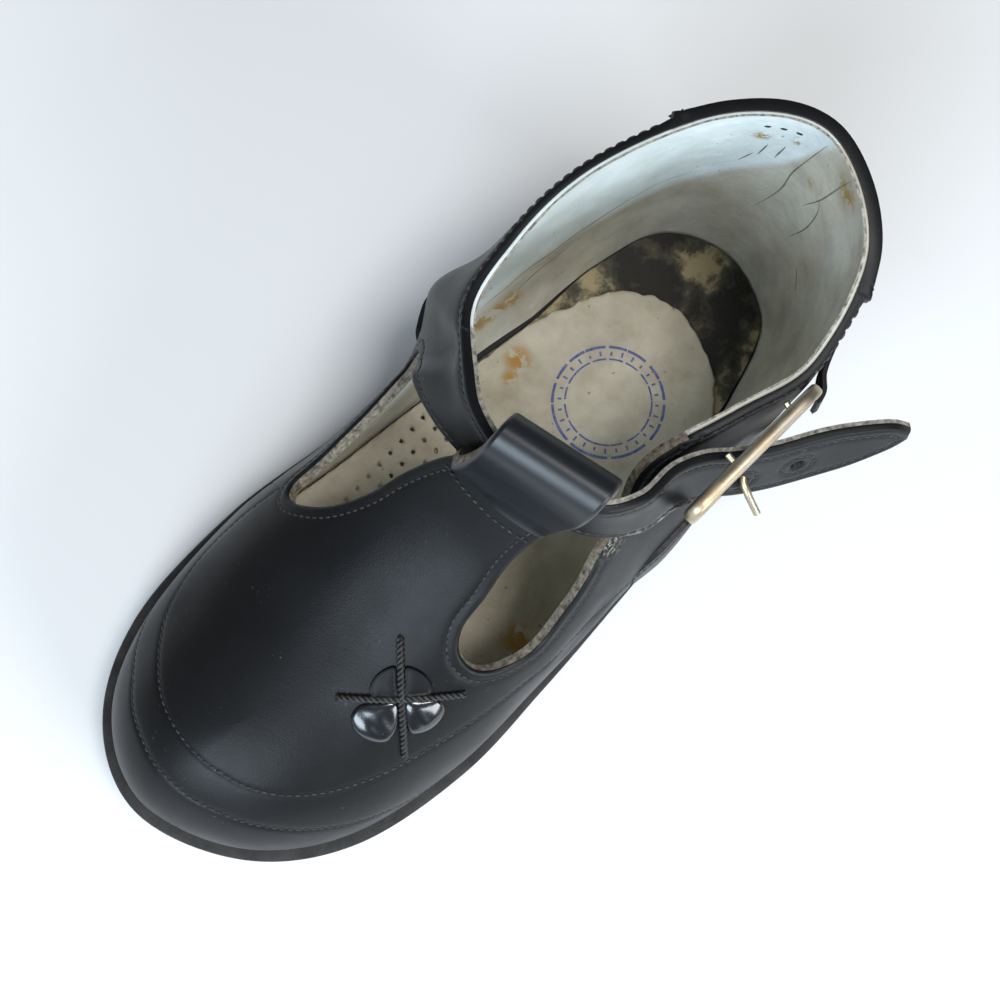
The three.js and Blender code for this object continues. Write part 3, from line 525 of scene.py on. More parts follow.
def sheet(patch, top, under, rim=None):
    """Closed sheet between two offsets: points, triangles, and 0 top, 1 under, 2 rim or a given rim kind."""
    n = len(patch.points)
    points = np.vstack([patch.points + patch.normals * np.broadcast_to(o, n)[:, None] for o in (top, under)])
    a, b = patch.borders().T
    sides = np.concatenate([np.stack([b, a, a + n], 1), np.stack([b, a + n, b + n], 1)])
    kinds = np.full(len(a), 2) if rim is None else np.minimum(rim[a], rim[b])
    tris = np.concatenate([patch.tris, patch.tris[:, ::-1] + n, sides])
    kinds = np.concatenate([np.zeros(len(patch.tris)), np.ones(len(patch.tris)), kinds, kinds])
    return points, tris, kinds


def worn(distance, radius):
    """Drop of a rounded edge within its radius."""
    t = np.clip(1 - distance / radius, 0, 1)
    return -radius * (1 - np.sqrt(np.maximum(0, 1 - t * t)))


def furrow(distance, depth=0.18, width=FURROW_WIDTH):
    return -depth * np.exp(-(distance / width) ** 2)


def dents(points, rows):
    total = np.zeros(len(points))
    for x0, y0, z0, x1, y1, z1, depth, width in rows:
        d = segment_distance(points, (x0, y0, z0), (x1, y1, z1))
        total += depth * (0.35 * np.exp(-((d - 1.6 * width) / width) ** 2) - np.exp(-(d / width) ** 2))
    return total


def contour(patch, values, level):
    """Chains of points and normals where the values meet a level."""
    g = values - level
    g = np.where(np.abs(g) < 1e-6, 1e-6, g)
    keys = []
    for k in range(3):
        i, j = patch.tris[:, k], patch.tris[:, (k + 1) % 3]
        keys.append(np.where((g[i] > 0) != (g[j] > 0), np.minimum(i, j) * len(g) + np.maximum(i, j), -1))
    keys = np.stack(keys, 1)
    links = {}
    for row in keys[(keys >= 0).sum(1) == 2]:
        a, b = row[row >= 0]
        links.setdefault(a, []).append(b)
        links.setdefault(b, []).append(a)
    chains, seen = [], set()
    for start in [k for k, v in links.items() if len(v) == 1] + list(links):
        chain = []
        here = start
        while here is not None and here not in seen:
            seen.add(here)
            chain.append(here)
            here = next((k for k in links[here] if k not in seen), None)
        if len(chain) > 6:
            i, j = np.array(chain) // len(g), np.array(chain) % len(g)
            s = (g[i] / (g[i] - g[j]))[:, None]
            line, normals = (mix(rows[i], rows[j], s) for rows in (patch.points, patch.normals))
            chains.append((line, unit(normals)))
    return chains


def placed(points):
    """Millimetres in the shoe's own frame to metres in the row frame."""
    return (np.asarray(points, float) - (HEEL_REST_X, 0, 0)) * 0.001


def put(name, data):
    made = bpy.data.objects.new(name, data)
    bpy.context.scene.collection.objects.link(made)
    return made


def add_piece(name, solid, materials, nodes=(), sharp=45, data=None):
    """Piece from points, triangles and perhaps their kinds; data holds values by point."""
    points, tris, *kinds = solid
    mesh = bpy.data.meshes.new(name)
    tris = np.asarray(tris, np.int32)
    mesh.vertices.add(len(points))
    mesh.vertices.foreach_set("co", placed(points).astype(np.float32).ravel())
    mesh.loops.add(tris.size)
    mesh.loops.foreach_set("vertex_index", tris.ravel())
    mesh.polygons.add(len(tris))
    mesh.polygons.foreach_set("loop_start", np.arange(0, tris.size, 3, dtype=np.int32))
    for material in materials:
        mesh.materials.append(material)
    if kinds:
        mesh.polygons.foreach_set("material_index", np.asarray(kinds[0], np.int32))
    for key, values in (data or {}).items():
        layer = mesh.attributes.new(key, "FLOAT", "POINT")
        layer.data.foreach_set("value", np.resize(values, len(points)).astype(np.float32))
    mesh.update(calc_edges=True)
    mesh.polygons.foreach_set("use_smooth", np.ones(len(tris), bool))
    mesh.set_sharp_from_angle(angle=math.radians(sharp))
    made = put(name, mesh)
    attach(made, "root")
    if nodes:
        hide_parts(*nodes)
    return made


# Materials

class Look:
    """A material and the nodes that feed it."""

    def __init__(self, name, color, roughness, metallic=0.0, specular=0.5, coat=0.0):
        self.material = bpy.data.materials.new(name)
        self.material.use_nodes = True
        self.tree = self.material.node_tree
        self.bsdf = self.tree.nodes["Principled BSDF"]
        self.set("Base Color", color)
        self.set("Roughness", roughness)
        self.set("Metallic", metallic)
        self.set("Specular IOR Level", specular)
        self.set("Coat Weight", coat)
        self.set("Coat Roughness", 0.25)

    def feed(self, socket, value):
        if hasattr(value, "is_linked"):
            self.tree.links.new(value, socket)
        else:
            socket.default_value = (*value, 1) if isinstance(value, tuple) else value

    def set(self, name, value):
        self.feed(self.bsdf.inputs[name], value)

    def node(self, kind, **settings):
        made = self.tree.nodes.new(kind)
        for key, value in settings.items():
            if key in made.inputs:
                made.inputs[key].default_value = value
            else:
                setattr(made, key, value)
        return made

    def noise(self, scale, detail=4.0, rough=0.55):
        made = self.node("ShaderNodeTexNoise", Scale=scale, Detail=detail, Roughness=rough)
        self.feed(made.inputs["Vector"], self.node("ShaderNodeTexCoord").outputs["Object"])
        return made.outputs["Fac"]

    def mask(self, name):
        return self.node("ShaderNodeAttribute", attribute_name=name).outputs["Fac"]

    def mottle(self, scale, detail, rough, *stops):
        """Noise turned into greys or colours at its stops."""
        made = self.node("ShaderNodeValToRGB")
        elements = made.color_ramp.elements
        while len(elements) < len(stops):
            elements.new(0.5)
        for element, (at, color) in zip(elements, stops):
            element.position = at
            element.color = (*color, 1) if isinstance(color, tuple) else (color, color, color, 1)
        self.feed(made.inputs["Fac"], self.noise(scale, detail, rough))
        return made.outputs["Color"]

    def blend(self, factor, a, b):
        made = self.node("ShaderNodeMix", data_type="RGBA")
        for name, value in (("Factor", factor), ("A", a), ("B", b)):
            self.feed(next(s for s in made.inputs if s.name == name and s.enabled), value)
        return next(s for s in made.outputs if s.enabled)

    def maths(self, operation, a, b):
        made = self.node("ShaderNodeMath", operation=operation)
        self.feed(made.inputs[0], a)
        self.feed(made.inputs[1], b)
        return made.outputs[0]

    def bump(self, height, strength, distance):
        made = self.node("ShaderNodeBump", Strength=strength, Distance=distance)
        self.feed(made.inputs["Height"], height)
        self.set("Normal", made.outputs["Normal"])


def leather_material(name, color, rough_low, rough_high, grain, specular=0.4, coat=0.0):
    look = Look(name, color, 0.4, specular=specular, coat=coat)
    look.set("Roughness", look.mottle(60, 6, 0.65, (0.3, rough_low), (0.75, rough_high)))
    specks = look.mottle(1100, 2, 0.6, (0.68, 0.0), (0.76, 1.0))
    patches = look.mottle(130, 3, 0.55, (0.5, 0.0), (0.72, 0.5))
    dusted = look.blend(look.maths("MULTIPLY", specks, patches), color, (0.2, 0.2, 0.2))
    cracks = look.mottle(1300, 3, 0.7, (0.5, 0.0), (0.56, 1.0))
    frayed = look.maths("MULTIPLY", cracks, look.mask("fray"))
    look.set("Base Color", look.blend(frayed, dusted, (0.26, 0.24, 0.21)))
    folds = look.maths("MULTIPLY", look.noise(420, 2), 0.7)
    look.bump(look.maths("ADD", look.noise(2800, 3, 0.6), folds), grain, 0.00012)
    return look.material


def plain_material(name, low, high, scale, roughness, grain, specular=0.35):
    look = Look(name, low, roughness, specular=specular)
    look.set("Base Color", look.mottle(scale, 6, 0.6, (0.32, low), (0.68, high)))
    look.bump(look.noise(scale * 6, 4, 0.65), grain, 0.0003)
    return look.material


def stained_material(look, color, ochre_at, ochre, specks, speck_color, grain):
    """Cloth or leather with worn ochre flakes and dark specks."""
    flaked = look.maths("MULTIPLY", look.mask("flake"), look.mottle(*ochre_at))
    color = look.blend(flaked, color, ochre)
    look.set("Base Color", look.blend(look.mottle(*specks), color, speck_color))
    look.bump(look.noise(*grain[:3]), *grain[3:])
    return look.material


def lining_material():
    look = Look("white_lining", (0.8, 0.8, 0.78), 0.6, specular=0.3)
    # The lining is painted as a lit and a shaded copy: bluish white where light falls near the collar, dark
    # beige where it lies in shade
    lit_lining = look.mottle(150, 5, 0.55, (0.3, (0.70, 0.79, 0.79)), (0.7, (0.84, 0.92, 0.92)))
    shaded_lining = look.mottle(130, 6, 0.65, (0.3, (0.37, 0.33, 0.255)), (0.7, (0.57, 0.53, 0.43)))
    return stained_material(
        look, look.blend(look.mask("painted_shade"), lit_lining, shaded_lining), (520, 4, 0.6, (0.44, 0.0), (0.5, 1.0)),
        (0.36, 0.24, 0.08), (900, 2, 0.5, (0.72, 0.0), (0.76, 0.55)), (0.22, 0.17, 0.11),
        (420, 7, 0.7, 0.55, 0.0006))


def sock_material():
    look = Look("sock_leather", (0.55, 0.47, 0.35), 0.8, specular=0.2)
    color = look.mottle(160, 6, 0.6, (0.3, (0.38, 0.33, 0.25)), (0.7, (0.55, 0.50, 0.40)))
    return stained_material(
        look, color, (420, 4, 0.6, (0.42, 0.0), (0.5, 1.0)), (0.40, 0.22, 0.05),
        (700, 2, 0.55, (0.71, 0.0), (0.76, 0.7)), (0.14, 0.10, 0.06), (500, 7, 0.68, 0.5, 0.0005))


def board_material():
    look = Look("insole_board", (0.1, 0.09, 0.07), 0.8, specular=0.25)
    dark, worn_board, torn = (0.028, 0.025, 0.021), (0.08, 0.07, 0.05), (0.33, 0.27, 0.15)
    look.set("Base Color", look.mottle(75, 7, 0.62, (0.44, dark), (0.52, worn_board), (0.58, torn)))
    look.bump(look.noise(700, 5, 0.7), 0.6, 0.0005)
    return look.material


def metal_material():
    look = Look("buckle_metal", (0.6, 0.52, 0.38), 0.3, metallic=1.0)
    look.set("Base Color", look.mottle(90, 4, 0.55, (0.35, (0.52, 0.40, 0.23)), (0.65, (0.47, 0.43, 0.36))))
    look.set("Roughness", look.mottle(300, 5, 0.55, (0.3, 0.34), (0.8, 0.55)))
    look.bump(look.noise(800, 4), 0.1, 0.0002)
    return look.material


BLACK = leather_material("black_leather", (0.0065, 0.0068, 0.0075), 0.36, 0.5, 0.25, 0.22)
ROLL = leather_material("rolled_leather", (0.007, 0.009, 0.012), 0.34, 0.42, 0.12, 0.55)
DULL = leather_material("worn_patent", (0.006, 0.006, 0.007), 0.4, 0.5, 0.1, 0.2)
PATENT = leather_material("patent_leather", (0.006, 0.0075, 0.010), 0.12, 0.24, 0.05, 0.7, 0.6)
THREAD = plain_material("black_thread", (0.008, 0.008, 0.009), (0.045, 0.044, 0.042), 900, 0.5, 0.3)
RAW = plain_material("raw_edge", (0.07, 0.055, 0.04), (0.40, 0.35, 0.28), 1100, 0.95, 1.0, 0.1)
SUEDE = plain_material("suede_back", (0.07, 0.055, 0.042), (0.14, 0.115, 0.09), 500, 0.95, 0.8, 0.1)
CREAM = plain_material("cream_edge", (0.13, 0.115, 0.09), (0.58, 0.55, 0.48), 1100, 0.9, 0.9, 0.15)
# Painted shade for the dark lines in the lining creases
CREASE_SHADE = plain_material("crease_shade", (0.13, 0.12, 0.10), (0.28, 0.26, 0.22), 900, 0.9, 0.3, 0.1)
RUBBER = plain_material("sole_rubber", (0.010, 0.010, 0.011), (0.022, 0.021, 0.02), 260, 0.6, 0.35)
WELT = plain_material("welt_band", (0.013, 0.012, 0.012), (0.035, 0.032, 0.03), 300, 0.7, 0.45)
INK = plain_material("blue_ink", (0.05, 0.07, 0.22), (0.16, 0.18, 0.34), 900, 0.8, 0.2)
LINING = lining_material()
SOCK = sock_material()
BOARD = board_material()
METAL = metal_material()


# Upper

def last_patch(steps=440, climbs=60):
    half = steps // 2
    throat = half * THROAT_RIB // HEEL_RIB
    q = np.repeat(np.arange(steps) * HEEL_RIB / half, climbs + 1)
    v = np.tile(np.linspace(0, 1, climbs + 1), steps)
    ids = np.arange(len(q)).reshape(steps, climbs + 1)
    ridge = ids[:throat + 1, climbs]
    ids[steps - throat:, climbs] = ids[throat:0:-1, climbs]
    normals = face_normal(q, v)
    normals[ridge] = unit(normals[ridge] + face_normal(-q[ridge], v[ridge]))
    return Patch(face(q, v), normals, grid_tris(np.vstack([ids, ids[:1]])), q=q, v=v)


def cut_field(patch, rows, aim):
    """Distance from a cut-out's outline over the leather, negative inside the cut-out."""
    aim = unit(aim)
    loop = smooth_loop(rows)
    middle = loop.mean(0)
    across = unit(np.array((1.0, 0, 0)) - aim * aim[0])
    beside = np.cross(aim, across)
    axes = np.stack([across, beside], 1)
    d = patch.points - middle
    field = polygon_distance(d @ axes, (loop - middle) @ axes)
    deep = d @ aim
    reached = (deep > -CUT_DEPTH) & (deep < CUT_REACH) & (patch.normals @ aim > -0.25)
    return np.where(reached, field, np.maximum(field, 20.0))


def signed_line(patch, table):
    """Distance from a line over the leather, negative below it; the table gives climb by rib."""
    low, high = table[0][0], table[-1][0]
    turn = np.where(patch["q"] > low + RIBS, patch["q"] - RIBS, patch["q"])
    ribs = np.linspace(low, high, int((high - low) * 60))
    line = face(ribs, smooth_table(table, ribs))
    under = (patch["v"] < smooth_table(table, turn)) & (turn > low) & (turn < high)
    return distance_to(patch.points, line) * np.where(under, -1.0, 1.0)


def tab_low(q):
    reach = np.clip(np.abs(q - HEEL_RIB) / TAB_REACH, 0, 1)
    return 0.985 - 0.185 * np.sqrt(1 - 0.97 * reach ** 4)


def past_joint(points):
    """Distance ahead of the line where the medial quarter becomes the strap."""
    return points[..., 0] - JOINT_X - JOINT_LEAN * (JOINT_Z - points[..., 2])


def upper_patch():
    patch = last_patch()
    p = patch.points
    past = (p - SEAM_AT) @ unit(SEAM_CLIMB) - SEAM_BACK
    on_bar = (np.abs(p[:, 1]) < 13) & (past < 19) & (np.abs(p[:, 0] - 76) < 14)
    on_strap = (p[:, 1] < -8) & (p[:, 2] > 46) & (p[:, 0] < 80)
    patch.data.update(
        lateral=cut_field(patch, LATERAL_CUT, LATERAL_AIM),
        medial=cut_field(patch, MEDIAL_CUT, MEDIAL_AIM),
        seam=np.where(on_bar, -past, np.maximum(-past, 5.0)),
        joint=np.where(on_strap, -past_joint(p), 5.0),
    )
    for key in ("lateral", "medial", "seam", "joint"):
        patch.split(key, keep=True)
    return patch


upper = upper_patch()
at_cut = (np.abs(upper["lateral"]) < 0.02) | (np.abs(upper["medial"]) < 0.02)
at_collar = (upper["v"] > 0.999) & (upper["seam"] > 0.5)
upper["cut"] = distance_to(upper.points, upper.border_points(at_cut))
upper["collar"] = distance_to(upper.points, upper.border_points(at_collar))
for key, table in (("inner", TOE_ROW_INNER), ("outer", TOE_ROW_OUTER), ("foxing", FOXING_TOP)):
    upper[key] = signed_line(upper, table)
tab_ribs = np.linspace(HEEL_RIB - TAB_REACH, HEEL_RIB + TAB_REACH, 300)
inside_tab = (upper.points[:, 0] < SEAT_SLOPE_FROM) & (np.abs(upper["q"] - HEEL_RIB) < TAB_REACH)
inside_tab &= upper["v"] > tab_low(upper["q"])
tab_line = np.concatenate([face(tab_ribs, tab_low(tab_ribs))] + [
    face(np.full(40, HEEL_RIB + side * TAB_REACH), np.linspace(TAB_SIDE_FROM, 1, 40)) for side in (-1, 1)])
upper["tab"] = distance_to(upper.points, tab_line) * np.where(inside_tab, -1, 1)
STITCH_LEVELS = {"cut": STITCH_INSET, "collar": STITCH_INSET, "inner": 0, "outer": 0,
                 "foxing": -1.5, "tab": -1.4}
EDGE_LEVELS = {"cut": (0.3, 0.8), "collar": (0.3, 0.8), "foxing": (-0.3, 0, 0.35), "tab": (-0.3, 0, 0.35)}
for key, stitch in STITCH_LEVELS.items():
    for level in sorted((stitch - FURROW_WIDTH, stitch, stitch + FURROW_WIDTH, *EDGE_LEVELS.get(key, ()))):
        upper.split(key, level)
near_joint = np.abs(upper["joint"]) < 0.02
at_collar = (upper["v"] > 0.999) & (upper["seam"] > 0.5)


def leather_top(patch):
    """Height of the finished leather over the last."""
    d = patch.data
    q = np.where(d["q"] > HEEL_RIB + 7, d["q"] - RIBS, d["q"])
    backward = ease((q - THROAT_RIB - 0.2) / 0.6) * ease((15.0 - q) / 0.6)
    foxing = OVERLAY * ease(-d["foxing"] / 0.35 + 1) * backward
    tab = OVERLAY * ease(-d["tab"] / 0.35 + 1)
    seam_gap = np.abs(np.abs(d["q"] - HEEL_RIB) - COUNTER_REACH) * 16
    top = np.maximum(foxing, tab) + np.where(d["foxing"] < 0, furrow(seam_gap, 0.5, 0.7), 0)
    bump_at = face(np.array((HEEL_RIB - TAB_REACH, HEEL_RIB + TAB_REACH)), np.array((0.975, 0.975)))
    for place in bump_at:
        top += 0.5 * np.exp(-(size(patch.points - place) / 2.4) ** 2)
    for key, level in STITCH_LEVELS.items():
        ahead = backward if key == "foxing" else 1
        top += furrow(d[key] - level) * ahead
    top += np.maximum(worn(d["cut"], 0.7), -0.6) + worn(d["collar"], 0.7)
    top += dents(patch.points, CREASES) + 0.1 * wander(patch.points, 26, 3)
    return top


top = leather_top(upper)
tree_top = upper.tree(top)


def spots(points, rows):
    """Strength of round worn spots at the points."""
    near = [np.exp(-((size(points - (x, y, z)) / r) ** 4)) for x, y, z, r in rows]
    return np.max(near, axis=0)


add_piece("upper_leather", sheet(upper, top, -LEATHER, np.where(at_collar, 0, 2)), [BLACK, SUEDE, RAW],
          ("upper", "heel_counter", "back_tab", "vamp_wing_lateral", "vamp_wing_medial"),
          data={"fray": spots(upper.points, FRAYS)})

# Painted shade on the lining: below the lit band's lower edge the lining takes the shaded colour, above it
# the painted lit colour
lit_band_low = smooth_table(LIT_BAND_LOW, upper["q"])
painted_shade = ease((lit_band_low - upper["v"]) / 0.1 + 0.5) * 0.9 + 0.12 * wander(upper.points, 18, 5)
lining_under = -WALL - dents(upper.points, LINING_CREASES) + 0.12 * wander(upper.points, 14, 9)
lining_under += 0.06 * wander(upper.points, 5, 13)
lining_under = np.minimum(lining_under, -LEATHER - 0.3)
lining_top = -LEATHER - LINING_GAP + worn(upper["collar"], 0.5)
add_piece("lining", sheet(upper, lining_top, lining_under, np.where(at_collar, 3, 2)),
          [LINING, LINING, RAW, CREAM],
          data={"painted_shade": np.clip(painted_shade, 0, 1), "flake": spots(upper.points - upper.normals * WALL, FLAKES)})
tree_lining = upper.tree(lining_under)


# Ribbons and thread

class Heap:
    """Solids gathered into one piece."""

    def __init__(self):
        self.points, self.tris, self.count = [], [], 0

    def join(self, points, tris):
        self.points.append(points)
        self.tris.append(tris + self.count)
        self.count += len(points)

    def add(self, name, material, slot, nodes=(), sharp=45):
        add_piece(name, (np.vstack(self.points), np.concatenate(self.tris)), [material], nodes, sharp)


def bead(rows=5, spokes=8):
    """Unit bead: points and triangles."""
    a = np.arange(1, rows)[:, None] * math.pi / rows
    b = np.arange(spokes) * 2 * math.pi / spokes
    rings = np.broadcast_arrays(np.cos(a), np.sin(a) * np.cos(b), np.sin(a) * np.sin(b))
    points = np.vstack([(1, 0, 0), np.stack(rings, -1).reshape(-1, 3), (-1, 0, 0)])
    ends = np.arange(spokes) + len(points) - 1 - spokes
    cap = np.stack([np.full(spokes, len(points) - 1), np.roll(ends, -1), ends], 1)
    return points, np.concatenate([disc_tris(rows - 1, spokes), cap])


BEAD_POINTS, BEAD_TRIS = bead()


class Laid(Heap):
    """Ribbons and stitches laid on a surface."""

    def __init__(self, tree):
        super().__init__()
        self.tree = tree

    def press(self, point, up, reach, lift):
        """Point lifted off the surface under it, or None."""
        hit = self.tree.ray_cast(Vector(point + up * reach), Vector(-up), 2 * reach)[0]
        return None if hit is None else np.array(hit) + up * lift

    def ribbon(self, line, normals, half, lift=0.04):
        side = np.cross(normals, unit(np.gradient(line, axis=0))) * np.broadcast_to(half, len(line))[:, None]
        pressed = []
        for p, up in zip(np.concatenate([line + side, line - side]), np.concatenate([normals, normals])):
            spot = self.press(p, up, 4, lift)
            pressed.append(p + up * lift if spot is None else spot)
        self.join(np.array(pressed), grid_tris(np.arange(2 * len(line)).reshape(2, -1)))

    def stitches(self, line, normals, pitch=1.45, half=(0.52, 0.24, 0.2)):
        run = run_along(line)
        at = np.arange(pitch / 2, run[-1], pitch)
        ahead = read_along(at + 0.3, run, line) - read_along(at - 0.3, run, line)
        for p, t, n in zip(read_along(at, run, line), ahead, unit(read_along(at, run, normals))):
            spot = self.press(p, n, 3, 0.02)
            if spot is not None:
                t = unit(t - n * (t @ n))
                axes = np.stack([t, np.cross(n, t), n]) * np.array(half)[:, None]
                self.join(spot + BEAD_POINTS @ axes, BEAD_TRIS)


# Thin dark ribbons on the lining: painted shade in its creases
creases = Laid(tree_lining)
for row in LINING_LINES:
    q, v = loft(row, 40).T
    inward = -face_normal(q, v)
    creases.ribbon(face(q, v) + inward * WALL, inward, 0.16 * np.sin(np.linspace(0.1, math.pi - 0.1, 41)))
creases.add("lining_crease_lines", CREASE_SHADE, "sock_leather")


# Strap, T-bar fold and chape

def quarter_row(ahead, low_z, count):
    """Row of points and normals up the medial quarter, ahead of the joint."""
    def rib_at(v):
        v = np.asarray(v, float)
        low, high = (np.full(v.shape, end) for end in QUARTER_RIBS)
        return solve(lambda q: past_joint(face(q, v)) < ahead, low, high)

    low = solve(lambda v: face(rib_at(v), v)[..., 2] < low_z, np.array([0.2]), np.array([0.9]))[0]
    v = np.linspace(low, 1, count)
    q = rib_at(v)
    return face(q, v), face_normal(q, v)


def straight_row(row, count):
    upper_end, lower_end = np.array(row[:3], float), np.array(row[3:6], float)
    return mix(lower_end, upper_end, np.linspace(0, 1, count)[:, None])


def band_patch(rows, steps, first=0):
    grid = loft(rows, steps, first)
    run = run_along(grid[:, grid.shape[1] // 2])
    patch = grid_patch(grid, run=np.repeat(run, grid.shape[1]))
    patch["first"] = np.repeat(np.arange(len(grid)) == 0, grid.shape[1]).astype(float)
    return patch


def finish_band(patch, round_by, stitch_at):
    free = patch["first"] < 0.5
    patch["edge"] = distance_to(patch.points, patch.border_points(free))
    for level in (round_by / 3, round_by, stitch_at - 0.45, stitch_at, stitch_at + 0.45):
        patch.split("edge", level)
    return worn(patch["edge"], round_by) + furrow(patch["edge"] - stitch_at)


ACROSS = 22
joint_low = upper.points[near_joint, 2].min()
joint_row, joint_normals = quarter_row(0, joint_low, ACROSS + 1)
strap_rows = [straight_row(row, ACROSS + 1) for row in STRAP_ROWS]
joint_swell = joint_row - straight_row((*joint_row[-1], *joint_row[0]), ACROSS + 1)
for row, share in zip(strap_rows, SWELL_LEFT):
    row += joint_swell * share
heading = unit(joint_row - quarter_row(-0.5, joint_low, ACROSS + 1)[0])
reach = size(strap_rows[0] - joint_row)[:, None]
strap_rows = [strap_rows[0] - 2 * reach * heading, joint_row] + strap_rows
strap = band_patch(strap_rows, 300, first=1)
away = ease(strap["run"] / JOINT_RUN)[:, None]
strap.normals = unit(mix(np.tile(joint_normals, (301, 1)), strap.normals, away))
from_holes = [size(strap.points - hole) for hole in STRAP_HOLES]
strap["hole"] = np.min(from_holes, axis=0) - HOLE_RADIUS
strap.split("hole", keep=True)
strap_drop = finish_band(strap, STRAP_ROUND, STITCH_INSET)
strap_half = BAND_HALF * ease(strap["run"] / LIFT_RUN)
strap_top = strap_half + strap_drop + 0.1 * wander(strap.points, 26, 3)
add_piece("strap_leather", sheet(strap, strap_top, strap_half - LEATHER), [BLACK, SUEDE, BLACK],
          ("strap",), data={"fray": spots(strap.points, FRAYS)})
strap_back = sheet(strap, strap_half - LEATHER - LINING_GAP, strap_half - STRAP_THICK)
# The strap lining is painted with a little shade all over
add_piece("strap_lining", strap_back, [LINING, LINING, CREAM],
          data={"painted_shade": 0.15, "flake": spots(strap.points, FLAKES)})

seam_edges = upper.borders()
seam_edges = seam_edges[(np.abs(upper["seam"]) < 0.02)[seam_edges].all(1)]
seam_line = upper.points[np.unique(seam_edges)]
seam_line = seam_line[np.argsort(-seam_line[:, 1])]
FOLD_POINTS, NO_STITCHES = 25, 40
along_seam = np.linspace(0, 1, len(seam_line))
seam_row = read_along(np.linspace(0, 1, FOLD_POINTS), along_seam, seam_line)
fold_rows = [seam_row]
for x, z, y, half in LOOP_ROWS:
    fold_rows.append(straight_row((x + LOOP_SKEW, y - half, z, x - LOOP_SKEW, y + half, z), FOLD_POINTS))
fold = band_patch(fold_rows, 120)
fold_drop = finish_band(fold, 0.7, NO_STITCHES)
fold_half = BAND_HALF * ease(fold["run"] / SEAM_RUN)
add_piece("t_bar_fold", sheet(fold, fold_half + fold_drop, fold_half - FOLD_THICK), [ROLL, SUEDE, RAW],
          ("t_bar_loop",))

chape = band_patch([straight_row(row, 13) for row in CHAPE_ROWS], 40)
chape_drop = finish_band(chape, 0.3, 1.6)
add_piece("chape_leather", sheet(chape, CHAPE_HALF + chape_drop, -CHAPE_HALF), [BLACK, SUEDE, BLACK],
          ("buckle_chape",))


# Sole, welt and insole

def plate(outset, top_of, under_of, belts, steps=240, across=24):
    """Plate with a moulded side: belts are rows of inset and share of the height, top first."""
    q = np.linspace(0, HEEL_RIB, steps + 1)
    around = np.concatenate([q, -q[-2:0:-1]])
    ring, out = rib(around)[:, :2], outward(around)
    n, count = len(around), len(belts)
    points = []
    for inset, share in belts:
        flat = ring + out * (outset - inset)
        points.append(np.column_stack([flat, mix(under_of(flat[:, 0]), top_of(flat[:, 0]), share)]))
    tris = [grid_tris(closed_rows(np.arange(count * n).reshape(count, n))[:, ::-1].T)]
    base = count * n
    for level, height, turn in ((0, top_of, 1), ((count - 1) * n, under_of, -1)):
        rim = points[level // n][:, :2]
        rows = []
        for i in range(1, steps):
            inner = mix(rim[i], rim[n - i], np.linspace(0, 1, across + 1)[1:-1, None])
            points.append(np.column_stack([inner, height(inner[:, 0])]))
            rows.append(np.concatenate([[level + i], np.arange(base, base + across - 1), [level + n - i]]))
            base += across - 1
        rows = np.array([np.full(across + 1, level)] + rows + [np.full(across + 1, level + steps)])
        cover = grid_tris(rows)
        flat = (cover[:, 0] == cover[:, 1]) | (cover[:, 1] == cover[:, 2]) | (cover[:, 0] == cover[:, 2])
        tris.append(cover[~flat][:, ::turn])
    return np.vstack(points), np.concatenate(tris)


SOLE_BELTS = [(0.5, 1), (0.1, 0.97), (0, 0.9), (0, 0.66), (0.35, 0.62), (0.35, 0.57), (0, 0.53), (0.05, 0.2),
              (0.4, 0.07), (1.2, 0)]
BOARD_BELTS = [(0.2, 1), (0, 0.8), (0, 0)]


def board_top(x):
    return seat(x) + GAP + BOARD_THICK


sole = plate(SOLE_OUTSET, lambda x: seat(x) - GAP, tread, SOLE_BELTS)
add_piece("outsole_rubber", sole, [RUBBER], ("outsole",))
board = plate(-INSOLE_INSET, board_top, lambda x: seat(x) + GAP, BOARD_BELTS)
add_piece("insole_board", board, [BOARD], ("insole",))


def sock_patch(step=0.6):
    q = np.linspace(0, RIBS, 400, endpoint=False)
    outline = rib(q)[:, :2] - outward(q) * (INSOLE_INSET + 0.3)
    low, high = outline.min(0), outline.max(0)
    counts = ((high - low) / step).astype(int)
    x, y = np.linspace(low[0], high[0], counts[0]), np.linspace(low[1], high[1], counts[1])
    flat = np.stack(np.meshgrid(x, y, indexing="ij"), -1)
    patch = grid_patch(np.concatenate([flat, board_top(flat[..., :1])], -1))
    places = patch.points[:, :2]
    rear = smooth_loop([(170, -60), (100, -60), *SOCK_REAR, (100, 60), (170, 60)], 6)
    ragged = polygon_distance(places, rear) + 0.5 * wander(patch.points, 7, 41)
    patch["inside"] = -np.maximum(polygon_distance(places, outline), ragged)
    patch.split("inside", keep=True)
    places = patch.points[:, :2]
    dots = [(x, y) for x in np.arange(*VENT_X, VENT_PITCH) for y in np.arange(*VENT_Y, VENT_PITCH)]
    holes = np.min([size(places - dot) for dot in dots], axis=0) - VENT_RADIUS
    for x, y in SLOTS:
        away = np.abs(places - (x, y)) - SLOT_HALF
        holes = np.minimum(holes, away.max(1))
    patch["vent"] = holes
    patch.split("vent", keep=True)
    return patch


sock = sock_patch()
sock["edge"] = distance_to(sock.points, sock.border_points())
sock_top = SOCK_THICK + worn(sock["edge"], 0.35) + 0.12 * wander(sock.points, 20, 21)
add_piece("sock", sheet(sock, sock_top, 0.03), [SOCK, SOCK, CREAM],
          data={"flake": spots(sock.points, FLAKES)})


UP = np.array((0.0, 0.0, 1.0))
stamp = Laid(sock.tree(sock_top))
rng = np.random.default_rng(4)


def stamp_strip(x, y, half):
    line = np.column_stack([x, y, board_top(x) + SOCK_THICK])
    stamp.ribbon(line, np.broadcast_to(UP, line.shape), half)


